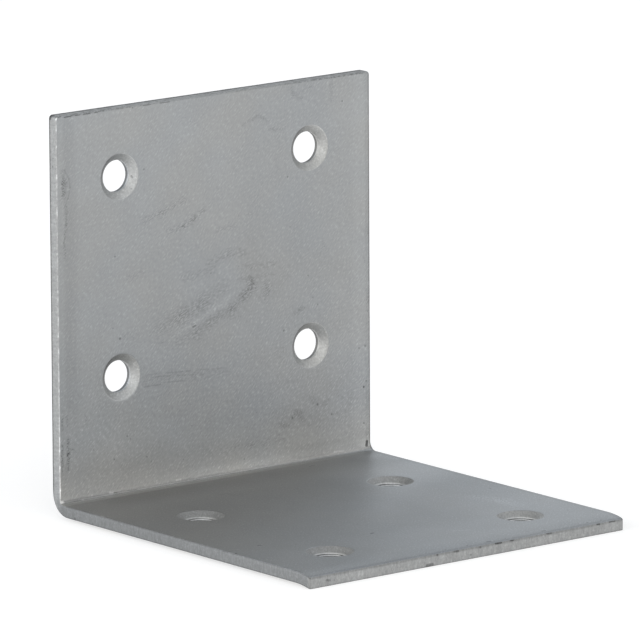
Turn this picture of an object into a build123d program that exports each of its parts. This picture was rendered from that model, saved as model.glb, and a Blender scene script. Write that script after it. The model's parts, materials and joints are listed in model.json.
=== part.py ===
from build123d import *

import os

# An angle bracket: one strip of sheet steel, sheared to length, punched, countersunk and folded
# once to a right angle. One leg lies flat and the other stands behind it.
# X runs along the fold, +Y points out of the back of the standing leg and +Z points up.
# The origin is the middle of the footprint, level with the lowest arris. Sizes are millimetres.

# Strip
SHEET = 1.8
WIDTH = 60.0
WALL_HEIGHT = 60.9
BASE_LENGTH = 61.5

# Fold: a narrow punch made a tight inner radius, and the outside of the sheet was drawn round a
# much larger one, so the sheet is thinner there
INNER_BEND = 0.6
OUTER_BEND = 3.5

# Screw holes, the same in both legs: punched through, then countersunk from the inner face
HOLE_DIAMETER = 4.9
SINK_DIAMETER = 7.1
SINK_ANGLE = 100.0
PITCH_ACROSS = 36.4
PITCH_ALONG = 30.6
WALL_FIRST_ROW = 19.7
BASE_FIRST_ROW = 21.0
RIM_ROUND = 0.1

# Sheared free end, which the shear blade pulled down over the last millimetres
DROOP = 0.45
DROOP_LENGTH = 3.3

# Corners in plan, and arrises: rolled over on the inner faces, nearly sharp on the outer ones
TOP_CORNER = 0.6
FREE_CORNER = 0.4
ROLLOVER = 0.26
OUTER_ARRIS = 0.09

# Worked out from the sizes above
BACK_Y = BASE_LENGTH / 2
END_Y = -BASE_LENGTH / 2
UNDERSIDE_Z = DROOP
TOP_Z = UNDERSIDE_Z + WALL_HEIGHT
WALL_INNER_Y = BACK_Y - SHEET
BASE_INNER_Z = UNDERSIDE_Z + SHEET

# How near two sizes count as the same, and how far the punch passes the outer face
SAME_SIZE = 0.001
PUNCH_PAST = 0.5


def section() -> Sketch:
    """The folded strip seen from its side, in the plane of Y and Z."""
    droop_y = END_Y + DROOP_LENGTH
    with BuildSketch(Plane.YZ) as sketch:
        with BuildLine():
            back = Line((BACK_Y, TOP_Z), (BACK_Y, UNDERSIDE_Z + OUTER_BEND))
            heel = TangentArc(back @ 1, (BACK_Y - OUTER_BEND, UNDERSIDE_Z), tangent=(0, -1))
            underside = Line(heel @ 1, (droop_y, UNDERSIDE_Z))
            pulled_under = TangentArc(
                underside @ 1, (END_Y, UNDERSIDE_Z - DROOP), tangent=(-1, 0)
            )
            sheared_end = Line(pulled_under @ 1, (END_Y, BASE_INNER_Z - DROOP))
            pulled_top = TangentArc((droop_y, BASE_INNER_Z), sheared_end @ 1, tangent=(-1, 0))
            inner_base = Line(pulled_top @ 0, (WALL_INNER_Y - INNER_BEND, BASE_INNER_Z))
            crook = TangentArc(
                inner_base @ 1, (WALL_INNER_Y, BASE_INNER_Z + INNER_BEND), tangent=(1, 0)
            )
            inner_wall = Line(crook @ 1, (WALL_INNER_Y, TOP_Z))
            Line(inner_wall @ 1, back @ 0)
        make_face()
    return sketch.sketch


def folded_strip() -> Part:
    """The plain folded strip, as wide as the bracket."""
    return extrude(section(), WIDTH / 2, both=True)


def hole_planes() -> list[Plane]:
    """A plane on the inner face of each leg, at the middle of its four holes, facing out."""
    wall_row_z = UNDERSIDE_Z + WALL_FIRST_ROW + PITCH_ALONG / 2
    base_row_y = BACK_Y - BASE_FIRST_ROW - PITCH_ALONG / 2
    wall = Plane(origin=(0, WALL_INNER_Y, wall_row_z), x_dir=(1, 0, 0), z_dir=(0, -1, 0))
    base = Plane(origin=(0, base_row_y, BASE_INNER_Z), x_dir=(1, 0, 0), z_dir=(0, 0, 1))
    return [wall, base]


def screw_hole() -> Part:
    """The space of one hole: a bore down from Z = 0, and the cone of the countersink."""
    return CounterSinkHole(
        HOLE_DIAMETER / 2,
        SINK_DIAMETER / 2,
        depth=SHEET + PUNCH_PAST,
        counter_sink_angle=SINK_ANGLE,
    )


def punched(strip: Part) -> Part:
    """The strip with four countersunk screw holes through each leg."""
    tool = screw_hole()
    grid = GridLocations(PITCH_ACROSS, PITCH_ALONG, 2, 2)
    for plane in hole_planes():
        strip -= [plane * place * tool for place in grid]
    return strip


def worn_rims(strip: Part) -> Part:
    """The strip with the sharp rim of each countersink taken off."""
    circles = strip.edges().filter_by(GeomType.CIRCLE)
    rims = [edge for edge in circles if abs(edge.radius - SINK_DIAMETER / 2) < SAME_SIZE]
    return fillet(rims, RIM_ROUND)


def cornered(strip: Part) -> Part:
    """The strip with its four corners rounded in plan."""
    end = strip.edges().filter_by(Axis.Z).filter_by_position(Axis.Y, END_Y, END_Y)
    strip = fillet(end, FREE_CORNER)
    top = strip.edges().filter_by(Axis.Y).filter_by_position(Axis.Z, TOP_Z, TOP_Z)
    return fillet(top, TOP_CORNER)


def rolled(strip: Part) -> Part:
    """The strip with its arrises rounded, as shearing leaves them.

    The corners are round already, so the outline of each face is one smooth loop, and a
    fillet that starts on the straight side of the standing leg runs all the way round it.
    """
    inner = strip.edges().filter_by(Axis.Z).filter_by_position(Axis.Y, WALL_INNER_Y, WALL_INNER_Y)
    strip = fillet(inner, ROLLOVER)
    outer = strip.edges().filter_by(Axis.Z).filter_by_position(Axis.Y, BACK_Y, BACK_Y)
    return fillet(outer, OUTER_ARRIS)


if __name__ == "__main__":
    bracket = worn_rims(punched(rolled(cornered(folded_strip()))))
    bracket.label = "bracket"
    os.makedirs("parts", exist_ok=True)
    export_step(bracket, "parts/bracket.step")
    print("bracket", round(bracket.volume, 2), "mm3", bracket.bounding_box())
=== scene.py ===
import json
import logging
import math
from dataclasses import dataclass, field
from enum import Enum, IntEnum, unique
from functools import reduce
from typing import Callable

import bmesh
import bpy
from mathutils import Matrix, Quaternion, Vector, noise


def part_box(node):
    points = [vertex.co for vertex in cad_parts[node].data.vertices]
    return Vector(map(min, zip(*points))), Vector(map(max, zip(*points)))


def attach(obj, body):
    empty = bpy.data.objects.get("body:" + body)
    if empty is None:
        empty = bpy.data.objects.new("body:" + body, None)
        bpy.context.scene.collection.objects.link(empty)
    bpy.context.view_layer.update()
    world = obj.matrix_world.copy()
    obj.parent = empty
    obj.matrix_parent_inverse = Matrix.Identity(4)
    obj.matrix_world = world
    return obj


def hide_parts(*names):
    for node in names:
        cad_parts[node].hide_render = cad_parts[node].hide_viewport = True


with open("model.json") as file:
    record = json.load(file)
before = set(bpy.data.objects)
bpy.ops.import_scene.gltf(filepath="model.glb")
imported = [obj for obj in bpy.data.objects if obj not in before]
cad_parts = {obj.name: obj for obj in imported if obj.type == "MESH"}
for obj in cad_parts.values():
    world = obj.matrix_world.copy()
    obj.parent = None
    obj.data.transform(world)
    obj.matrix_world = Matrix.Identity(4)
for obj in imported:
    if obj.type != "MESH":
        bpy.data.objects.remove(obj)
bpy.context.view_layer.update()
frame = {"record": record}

MM = 0.001
SAME_PLACE = 0.002 * MM

log = logging.getLogger("angle_bracket")


@unique
class Leg(Enum):
    """The two legs of the folded strip, by the names that their mounts have in the record."""

    WALL = "wall"
    BASE = "base"


@unique
class Zone(IntEnum):
    """The finish that a face takes, which is its material slot on the piece."""

    WALL_SKIN = 0
    BASE_SKIN = 1
    OUTER_SKIN = 2
    CUT = 3
    SINK = 4
    BORE = 5


def mount(name: str) -> dict:
    """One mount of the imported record.

    Args:
        name: the mount's name.

    Returns:
        The mount's entry, with its place in metres and its sizes in millimetres.
    """
    return next(entry for entry in frame["record"]["mounts"] if entry["name"] == name)


def outer_faces() -> tuple[float, float]:
    """The Y of the standing leg's back and the Z of the lying leg's underside, in metres."""
    return mount("wall_face")["pos_m"][1], mount("base_face")["pos_m"][2]


@dataclass
class HolePattern:
    """The four screw holes of one leg, taken from its mount.

    Attributes:
        leg: the leg that the holes go through.
        middle: the middle of the pattern.
        across: the pitch along X.
        along: the pitch along the leg.
        bore_radius: the radius of a hole.
    """

    leg: Leg
    middle: Vector = field(init=False)
    across: float = field(init=False)
    along: float = field(init=False)
    bore_radius: float = field(init=False)

    def __post_init__(self) -> None:
        """Reads the pattern's middle, pitches and bore from the record."""
        entry = mount(f"{self.leg.value}_holes")
        self.middle = Vector(entry["pos_m"])
        self.across = entry["dims"]["spacing_x_mm"] * MM
        self.along = entry["dims"]["spacing_y_mm"] * MM
        self.bore_radius = entry["dims"]["hole_r_mm"] * MM


@dataclass(frozen=True)
class StripSizes:
    """The sizes of the folded strip, in metres.

    Attributes:
        sheet: the sheet's thickness.
        inner_bend: the inner radius of the fold.
        outer_bend: its outer radius.
        far_bend: the inner radius at the end of the fold towards +X, where the sheet swelled.
        far_bend_length: how far that swelling reaches along the fold.
        droop: how far the free end of the lying leg is pulled down.
        droop_length: over what length.
        sink_radius: the radius of a countersink's rim.
        sink_angle: the whole angle of its cone.
        top_corner: the radius of the standing leg's corners in plan.
        free_corner: the radius of the lying leg's.
        rollover: the radius of the arris that the shear rolled over.
        outer_arris: the radius of the arris on the other side of the sheet.
        rim_round: the radius of a countersink's rim.
        foot_round: the radius where its cone meets the bore.
        mouth_round: the radius of the bore's other end.
        ring_shrink: what the smoothing leaves of the radius of a ring of points.
        ripple: how deep the unevenness of a sheared edge is.
        ripple_length: how long its waves are.
        ripple_reach: how far it reaches in from the edge.
    """

    sheet: float = 1.8 * MM
    inner_bend: float = 0.6 * MM
    outer_bend: float = 3.5 * MM
    far_bend: float = 1.4 * MM
    far_bend_length: float = 2.2 * MM
    droop: float = 0.45 * MM
    droop_length: float = 3.3 * MM
    sink_radius: float = 3.55 * MM
    sink_angle: float = math.radians(100.0)
    top_corner: float = 0.6 * MM
    free_corner: float = 0.4 * MM
    rollover: float = 0.26 * MM
    outer_arris: float = 0.09 * MM
    rim_round: float = 0.12 * MM
    foot_round: float = 0.035 * MM
    mouth_round: float = 0.03 * MM
    ring_shrink: float = 0.9952
    ripple: float = 0.04 * MM
    ripple_length: float = 1.3 * MM
    ripple_reach: float = 0.5 * MM

    @property
    def sink_depth(self) -> float:
        """How deep the cone of a countersink goes."""
        bore = HolePattern(Leg.WALL).bore_radius
        return (self.sink_radius - bore) / math.tan(self.sink_angle / 2)


@dataclass
class LegSheet:
    """One flat leg, modelled lying in the XY plane with its inner face up and then put in place.

    X runs across the strip and Y along it, from the heel's outer corner to the leg's end.

    Attributes:
        leg: which leg it is.
        sizes: the strip's sizes.
        width: the strip's width.
        length: from the heel's outer corner to the leg's end.
        first_row: from the heel's outer corner to the nearer row of holes.
        cell: the size of the grid's cells, a whole share of the ring round a hole.
        ring_cells: half the cells along each side of the square that a hole takes.
        fade_cells: over how many cells round a hole the rings turn square again.
    """

    leg: Leg
    sizes: StripSizes
    width: float
    length: float
    first_row: float
    cell: float = 0.9 * MM
    ring_cells: int = 4
    fade_cells: int = 5

    def __post_init__(self) -> None:
        """Works out the hole places and the grid's lines."""
        self.holes = HolePattern(self.leg)
        half_across, half_ring = self.holes.across / 2, self.ring_cells * self.cell
        self.columns = self.lines(
            [-self.width / 2, -half_across - half_ring, -half_across + half_ring,
             half_across - half_ring, half_across + half_ring, self.width / 2]
        )
        rows = [self.first_row, self.first_row + self.holes.along]
        self.rows = self.lines(
            [self.sizes.outer_bend, rows[0] - half_ring, rows[0] + half_ring,
             rows[1] - half_ring, rows[1] + half_ring, self.length]
        )
        self.centres = [Vector((x, y, 0)) for x in (-half_across, half_across) for y in rows]

    def lines(self, stops: list[float]) -> list[float]:
        """Grid lines through all the stops, about one cell apart.

        Args:
            stops: the places that need a line, in rising order.

        Returns:
            Every line's place, in rising order.
        """
        places = [stops[0]]
        for low, high in zip(stops, stops[1:]):
            count = max(1, round((high - low) / self.cell))
            places += [low + (high - low) * step / count for step in range(1, count + 1)]
        return places

    def grid(self) -> bmesh.types.BMesh:
        """The plain inner face of the leg, as a grid of cells on the lines.

        Returns:
            The mesh that the other steps shape.
        """
        sheet = bmesh.new()
        columns, rows = len(self.columns) - 1, len(self.rows) - 1
        bmesh.ops.create_grid(sheet, x_segments=columns, y_segments=rows, size=0.5)
        for vert in sheet.verts:
            column = round((vert.co.x + 0.5) * columns)
            row = round((vert.co.y + 0.5) * rows)
            vert.co = (self.columns[column], self.rows[row], 0)
        return sheet

    def open_holes(self, sheet: bmesh.types.BMesh) -> None:
        """Cuts the square round each hole out and rounds the rings of cells about it.

        Args:
            sheet: the plain grid.
        """
        for centre in self.centres:
            half = self.ring_cells * self.cell
            inside = [
                face for face in sheet.faces
                if max(abs(x) for x in face.calc_center_median() - centre) < half
            ]
            bmesh.ops.delete(sheet, geom=inside, context="FACES")
            for vert in sheet.verts:
                vert.co = centre + self.rounded(vert.co - centre)

    def rounded(self, offset: Vector) -> Vector:
        """Where a grid point near a hole moves, so that the rings of cells become circles.

        Args:
            offset: the point, seen from the hole's centre.

        Returns:
            Its new place, seen from the hole's centre.
        """
        reach = max(abs(offset.x), abs(offset.y))
        ring = reach / self.cell - self.ring_cells
        if ring > self.fade_cells:
            return offset
        if abs(offset.x) >= abs(offset.y):
            turn = math.copysign(offset.y / reach, offset.x * offset.y) * math.pi / 4
            turn = turn if offset.x > 0 else math.pi + turn
        else:
            turn = math.pi / 2 - offset.x / reach * math.pi / 4
            turn = turn if offset.y > 0 else -math.pi / 2 + offset.x / reach * math.pi / 4
        radius = self.sizes.sink_radius / self.sizes.ring_shrink + ring * self.cell
        circle = Vector((math.cos(turn), math.sin(turn), 0)) * radius
        return offset.lerp(circle, 1 - ring / self.fade_cells)

    def thicken(self, sheet: bmesh.types.BMesh) -> None:
        """Gives the leg its thickness and each hole its cone and its bore.

        Args:
            sheet: the inner face, with its holes open.
        """
        grown = bmesh.ops.extrude_face_region(sheet, geom=sheet.faces[:], use_keep_orig=True)
        outer = [item for item in grown["geom"] if isinstance(item, bmesh.types.BMVert)]
        bmesh.ops.translate(sheet, verts=outer, vec=(0, 0, -self.sizes.sheet))
        narrow = self.holes.bore_radius / self.sizes.sink_radius
        for centre in self.centres:
            reach = self.sizes.sink_radius / self.sizes.ring_shrink + SAME_PLACE
            mouth = [v for v in outer if (v.co - centre).to_2d().length < reach]
            self.scale_about(sheet, mouth, centre, narrow)
            wall = [
                face for face in sheet.faces
                if abs(face.normal.z) < 0.99
                and (face.calc_center_median() - centre).to_2d().length < reach
            ]
            edges = {edge for face in wall for edge in face.edges}
            verts = {vert for face in wall for vert in face.verts}
            cut = bmesh.ops.bisect_plane(
                sheet, geom=[*wall, *edges, *verts], dist=SAME_PLACE / 10,
                plane_co=(0, 0, -self.sizes.sink_depth), plane_no=(0, 0, 1),
            )
            foot = [item for item in cut["geom_cut"] if isinstance(item, bmesh.types.BMVert)]
            now = (foot[0].co - centre).to_2d().length * self.sizes.ring_shrink
            self.scale_about(sheet, foot, centre, self.holes.bore_radius / now)

    def scale_about(
        self, sheet: bmesh.types.BMesh, verts: list, centre: Vector, share: float
    ) -> None:
        """Draws a ring of points in or out about a hole's axis.

        Args:
            sheet: the mesh.
            verts: the ring.
            centre: a point on the axis.
            share: the ring's new radius as a share of its old one.
        """
        bmesh.ops.scale(
            sheet, verts=verts, vec=(share, share, 1), space=Matrix.Translation(-centre)
        )

    def zone_faces(self, sheet: bmesh.types.BMesh) -> None:
        """Gives each face the finish of its place.

        Args:
            sheet: the leg, with its thickness.
        """
        skin = Zone.WALL_SKIN if self.leg is Leg.WALL else Zone.BASE_SKIN
        sheet.normal_update()
        for face in sheet.faces:
            middle = face.calc_center_median()
            near = min((middle - centre).to_2d().length for centre in self.centres)
            if abs(middle.z) < SAME_PLACE:
                face.material_index = skin
            elif abs(middle.z + self.sizes.sheet) < SAME_PLACE:
                face.material_index = Zone.OUTER_SKIN
            elif near > self.sizes.sink_radius:
                face.material_index = Zone.CUT
            else:
                deep = middle.z < -self.sizes.sink_depth
                face.material_index = Zone.BORE if deep else Zone.SINK

    def placed(self, heel: Vector) -> bmesh.types.BMesh:
        """The finished leg in its place, open where the fold joins it.

        Args:
            heel: the middle of the heel's outer corner.

        Returns:
            The leg's mesh.
        """
        sheet = self.grid()
        self.open_holes(sheet)
        self.thicken(sheet)
        self.zone_faces(sheet)
        start = self.sizes.outer_bend + SAME_PLACE
        open_end = [f for f in sheet.faces if all(v.co.y < start for v in f.verts)]
        bmesh.ops.delete(sheet, geom=open_end, context="FACES_ONLY")
        if self.leg is Leg.WALL:
            turn = Matrix.Rotation(math.radians(90), 4, "X")
            lift = Vector((0, -self.sizes.sheet, 0))
        else:
            turn = Matrix.Rotation(math.radians(180), 4, "Z")
            lift = Vector((0, 0, self.sizes.sheet))
        place = Matrix.Translation(heel + lift) @ turn
        bmesh.ops.transform(sheet, matrix=place, verts=sheet.verts)
        return sheet


@dataclass
class AngleBracket:
    """The bracket: two legs joined by the fold, with its corners and arrises worn round.

    Attributes:
        sizes: the strip's sizes.
        fold_steps: how many rows of faces the fold has.
        tight_steps: how many of them the inner face's tight bend takes.
    """

    sizes: StripSizes = StripSizes()
    fold_steps: int = 16
    tight_steps: int = 10

    def __post_init__(self) -> None:
        """Reads the bracket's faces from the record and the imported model's box."""
        self.low, self.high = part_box("bracket")
        self.heel = Vector((0, *outer_faces()))
        self.end_y = self.low.y
        self.bend_axis = self.heel + Vector((0, -self.sizes.outer_bend, self.sizes.outer_bend))

    def leg_sheets(self) -> list[LegSheet]:
        """The two legs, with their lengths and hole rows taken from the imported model.

        Returns:
            The standing leg and the lying one.
        """
        width = self.high.x - self.low.x
        wall, base = HolePattern(Leg.WALL), HolePattern(Leg.BASE)
        wall_row = wall.middle.z - wall.along / 2 - self.heel.z
        base_row = self.heel.y - base.middle.y - base.along / 2
        return [
            LegSheet(Leg.WALL, self.sizes, width, self.high.z - self.heel.z, wall_row),
            LegSheet(Leg.BASE, self.sizes, width, self.heel.y - self.end_y, base_row),
        ]

    def joined(self) -> bmesh.types.BMesh:
        """Both legs in one mesh, not yet joined by the fold.

        Returns:
            The mesh that the other steps shape.
        """
        strip = bmesh.new()
        for leg in self.leg_sheets():
            sheet = leg.placed(self.heel)
            carrier = bpy.data.meshes.new(f"{leg.leg.value}_leg")
            sheet.to_mesh(carrier)
            sheet.free()
            strip.from_mesh(carrier)
            bpy.data.meshes.remove(carrier)
        return strip

    def from_axis(self, point: Vector) -> float:
        """How far a point is from the axis of the fold, seen along X."""
        return (point - self.bend_axis).yz.length

    def fold(self, strip: bmesh.types.BMesh) -> None:
        """Spins the standing leg's open end round to the lying leg and thins the sheet there.

        Args:
            strip: both legs.
        """
        start = self.bend_axis.z
        ring = [
            edge for edge in strip.edges
            if edge.is_boundary and all(abs(v.co.z - start) < SAME_PLACE for v in edge.verts)
            and all(v.co.y > self.bend_axis.y for v in edge.verts)
        ]
        before = set(strip.faces)
        bmesh.ops.spin(
            strip, geom=ring, cent=self.bend_axis, axis=(1, 0, 0), dvec=(0, 0, 0),
            angle=-math.pi / 2, steps=self.fold_steps, use_merge=False, use_duplicate=False,
        )
        self.zone_fold([face for face in strip.faces if face not in before])
        bmesh.ops.remove_doubles(strip, verts=strip.verts, dist=SAME_PLACE)
        for vert in strip.verts:
            if abs(self.from_axis(vert.co) - self.spun_radius) < SAME_PLACE:
                self.tighten(vert)

    @property
    def spun_radius(self) -> float:
        """The inner radius of the fold as it is spun, before it is made tight."""
        return self.sizes.outer_bend - self.sizes.sheet

    def tighten(self, vert: bmesh.types.BMVert) -> None:
        """Moves a point of the fold's spun inner face to the tight bend that the punch left.

        Args:
            vert: the point, on a round of the spun inner radius.
        """
        from_far = self.high.x - vert.co.x
        swell = max(0.0, 1 - from_far / self.sizes.far_bend_length) ** 2
        tight = self.sizes.inner_bend + swell * (self.sizes.far_bend - self.sizes.inner_bend)
        across = vert.co.y - self.bend_axis.y
        down = self.bend_axis.z - vert.co.z
        step = math.atan2(down, across) / (math.pi / 2) * self.fold_steps
        flat_steps = (self.fold_steps - self.tight_steps) / 2
        if step < 0 or step > self.fold_steps:
            return
        flat = self.spun_radius - tight
        turn = min(max((step - flat_steps) / self.tight_steps, 0), 1) * math.pi / 2
        lead = min(step / flat_steps, 1) * flat
        tail = max((step - flat_steps - self.tight_steps) / flat_steps, 0) * flat
        vert.co.y = self.bend_axis.y + flat + tight * math.cos(turn) - tail
        vert.co.z = self.bend_axis.z - lead - tight * math.sin(turn)

    def zone_fold(self, faces: list) -> None:
        """Gives the faces of the fold their finish.

        Args:
            faces: the faces that the spin made.
        """
        for face in faces:
            radii = [self.from_axis(vert.co) for vert in face.verts]
            if max(radii) < self.spun_radius + SAME_PLACE:
                middle = face.calc_center_median() - self.bend_axis
                standing = middle.y > -middle.z
                face.material_index = Zone.WALL_SKIN if standing else Zone.BASE_SKIN
            elif min(radii) > self.sizes.outer_bend - SAME_PLACE:
                face.material_index = Zone.OUTER_SKIN
            else:
                face.material_index = Zone.CUT

    def pull_end_down(self, strip: bmesh.types.BMesh) -> None:
        """Bends the last millimetres of the lying leg down, as the shear left them.

        Args:
            strip: the folded strip.
        """
        length, drop = self.sizes.droop_length, self.sizes.droop
        radius = (length**2 + drop**2) / (2 * drop)
        start = self.end_y + length
        for vert in strip.verts:
            if vert.co.y < start:
                past = start - vert.co.y
                vert.co.z -= radius - math.sqrt(radius**2 - past**2)

    def bevel(self, strip: bmesh.types.BMesh, edges: list, size: float, steps: int) -> None:
        """Rounds some edges.

        Args:
            strip: the mesh.
            edges: the edges to round.
            size: the radius.
            steps: how many faces the round has.
        """
        bmesh.ops.bevel(
            strip, geom=edges, offset=size, offset_type="OFFSET", segments=steps,
            profile=0.5, affect="EDGES", clamp_overlap=False, material=-1,
        )

    def round_corners(self, strip: bmesh.types.BMesh) -> None:
        """Rounds the strip's four corners in plan.

        Args:
            strip: the folded strip.
        """
        def corner(edge: bmesh.types.BMEdge, top: bool) -> bool:
            """Whether an edge runs through the sheet at a corner.

            Args:
                edge: the edge.
                top: whether the standing leg's corners are meant, or the lying one's.

            Returns:
                Whether it does.
            """
            for vert in edge.verts:
                if min(abs(vert.co.x - self.low.x), abs(vert.co.x - self.high.x)) > SAME_PLACE:
                    return False
                at_top = abs(vert.co.z - self.high.z) < SAME_PLACE
                at_end = abs(vert.co.y - self.end_y) < SAME_PLACE
                if not (at_top if top else at_end):
                    return False
            return True

        self.bevel(strip, [e for e in strip.edges if corner(e, True)], self.sizes.top_corner, 5)
        self.bevel(strip, [e for e in strip.edges if corner(e, False)], self.sizes.free_corner, 4)

    def zone_edges(
        self, strip: bmesh.types.BMesh, one: set[Zone], other: set[Zone]
    ) -> list:
        """The edges where faces of one finish meet faces of another.

        Args:
            strip: the mesh.
            one: the finishes on one side.
            other: the finishes on the other side.

        Returns:
            The edges between them.
        """
        found = []
        for edge in strip.edges:
            if len(edge.link_faces) == 2:
                first, second = (Zone(face.material_index) for face in edge.link_faces)
                if (first in one and second in other) or (second in one and first in other):
                    found.append(edge)
        return found

    def round_arrises(self, strip: bmesh.types.BMesh) -> None:
        """Rolls the inner arrises over, and takes the sharpness off the others.

        Args:
            strip: the folded strip, with its corners round.
        """
        inner = {Zone.WALL_SKIN, Zone.BASE_SKIN}
        sizes = self.sizes
        for one, other, size, steps in (
            (inner, {Zone.CUT}, sizes.rollover, 4),
            ({Zone.OUTER_SKIN}, {Zone.CUT}, sizes.outer_arris, 2),
            (inner, {Zone.SINK}, sizes.rim_round, 3),
            ({Zone.SINK}, {Zone.BORE}, sizes.foot_round, 2),
            ({Zone.OUTER_SKIN}, {Zone.BORE}, sizes.mouth_round, 2),
        ):
            self.bevel(strip, self.zone_edges(strip, one, other), size, steps)

    def roughen(self, strip: bmesh.types.BMesh) -> None:
        """Moves the sheared edges in by a few hundredths of a millimetre, unevenly.

        Args:
            strip: the folded strip, with its arrises round.
        """
        sizes = self.sizes
        for vert in strip.verts:
            place = vert.co / sizes.ripple_length
            dip = sizes.ripple * (0.5 + 0.5 * noise.noise(place))
            for axis, edge, side in ((0, self.high.x, 1), (0, self.low.x, -1),
                                     (1, self.end_y, -1), (2, self.high.z, 1)):
                inside = side * (edge - vert.co[axis])
                share = max(0.0, 1 - inside / sizes.ripple_reach)
                vert.co[axis] -= side * dip * share

    def piece(self) -> bpy.types.Object:
        """The bracket's finished mesh as a piece that stands for its CAD node.

        Returns:
            The new object.
        """
        strip = self.joined()
        self.fold(strip)
        self.pull_end_down(strip)
        self.round_corners(strip)
        self.round_arrises(strip)
        self.roughen(strip)
        bmesh.ops.recalc_face_normals(strip, faces=strip.faces)
        for face in strip.faces:
            face.smooth = True
        mesh = bpy.data.meshes.new("folded_bracket")
        strip.to_mesh(mesh)
        strip.free()
        piece = bpy.data.objects.new("folded_bracket", mesh)
        bpy.context.scene.collection.objects.link(piece)
        smooth = piece.modifiers.new("fine_surface", "SUBSURF")
        smooth.levels = smooth.render_levels = 1
        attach(piece, "root")
        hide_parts("bracket")
        return piece

    def dress(self, piece: bpy.types.Object) -> None:
        """Gives each zone of the bracket its finish.

        Args:
            piece: the bracket's piece, whose faces know their zones.
        """
        effects, made = CoatEffects(), finishes()
        for zone in Zone:
            piece.data.materials.append(made[zone].material(effects))


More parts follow.
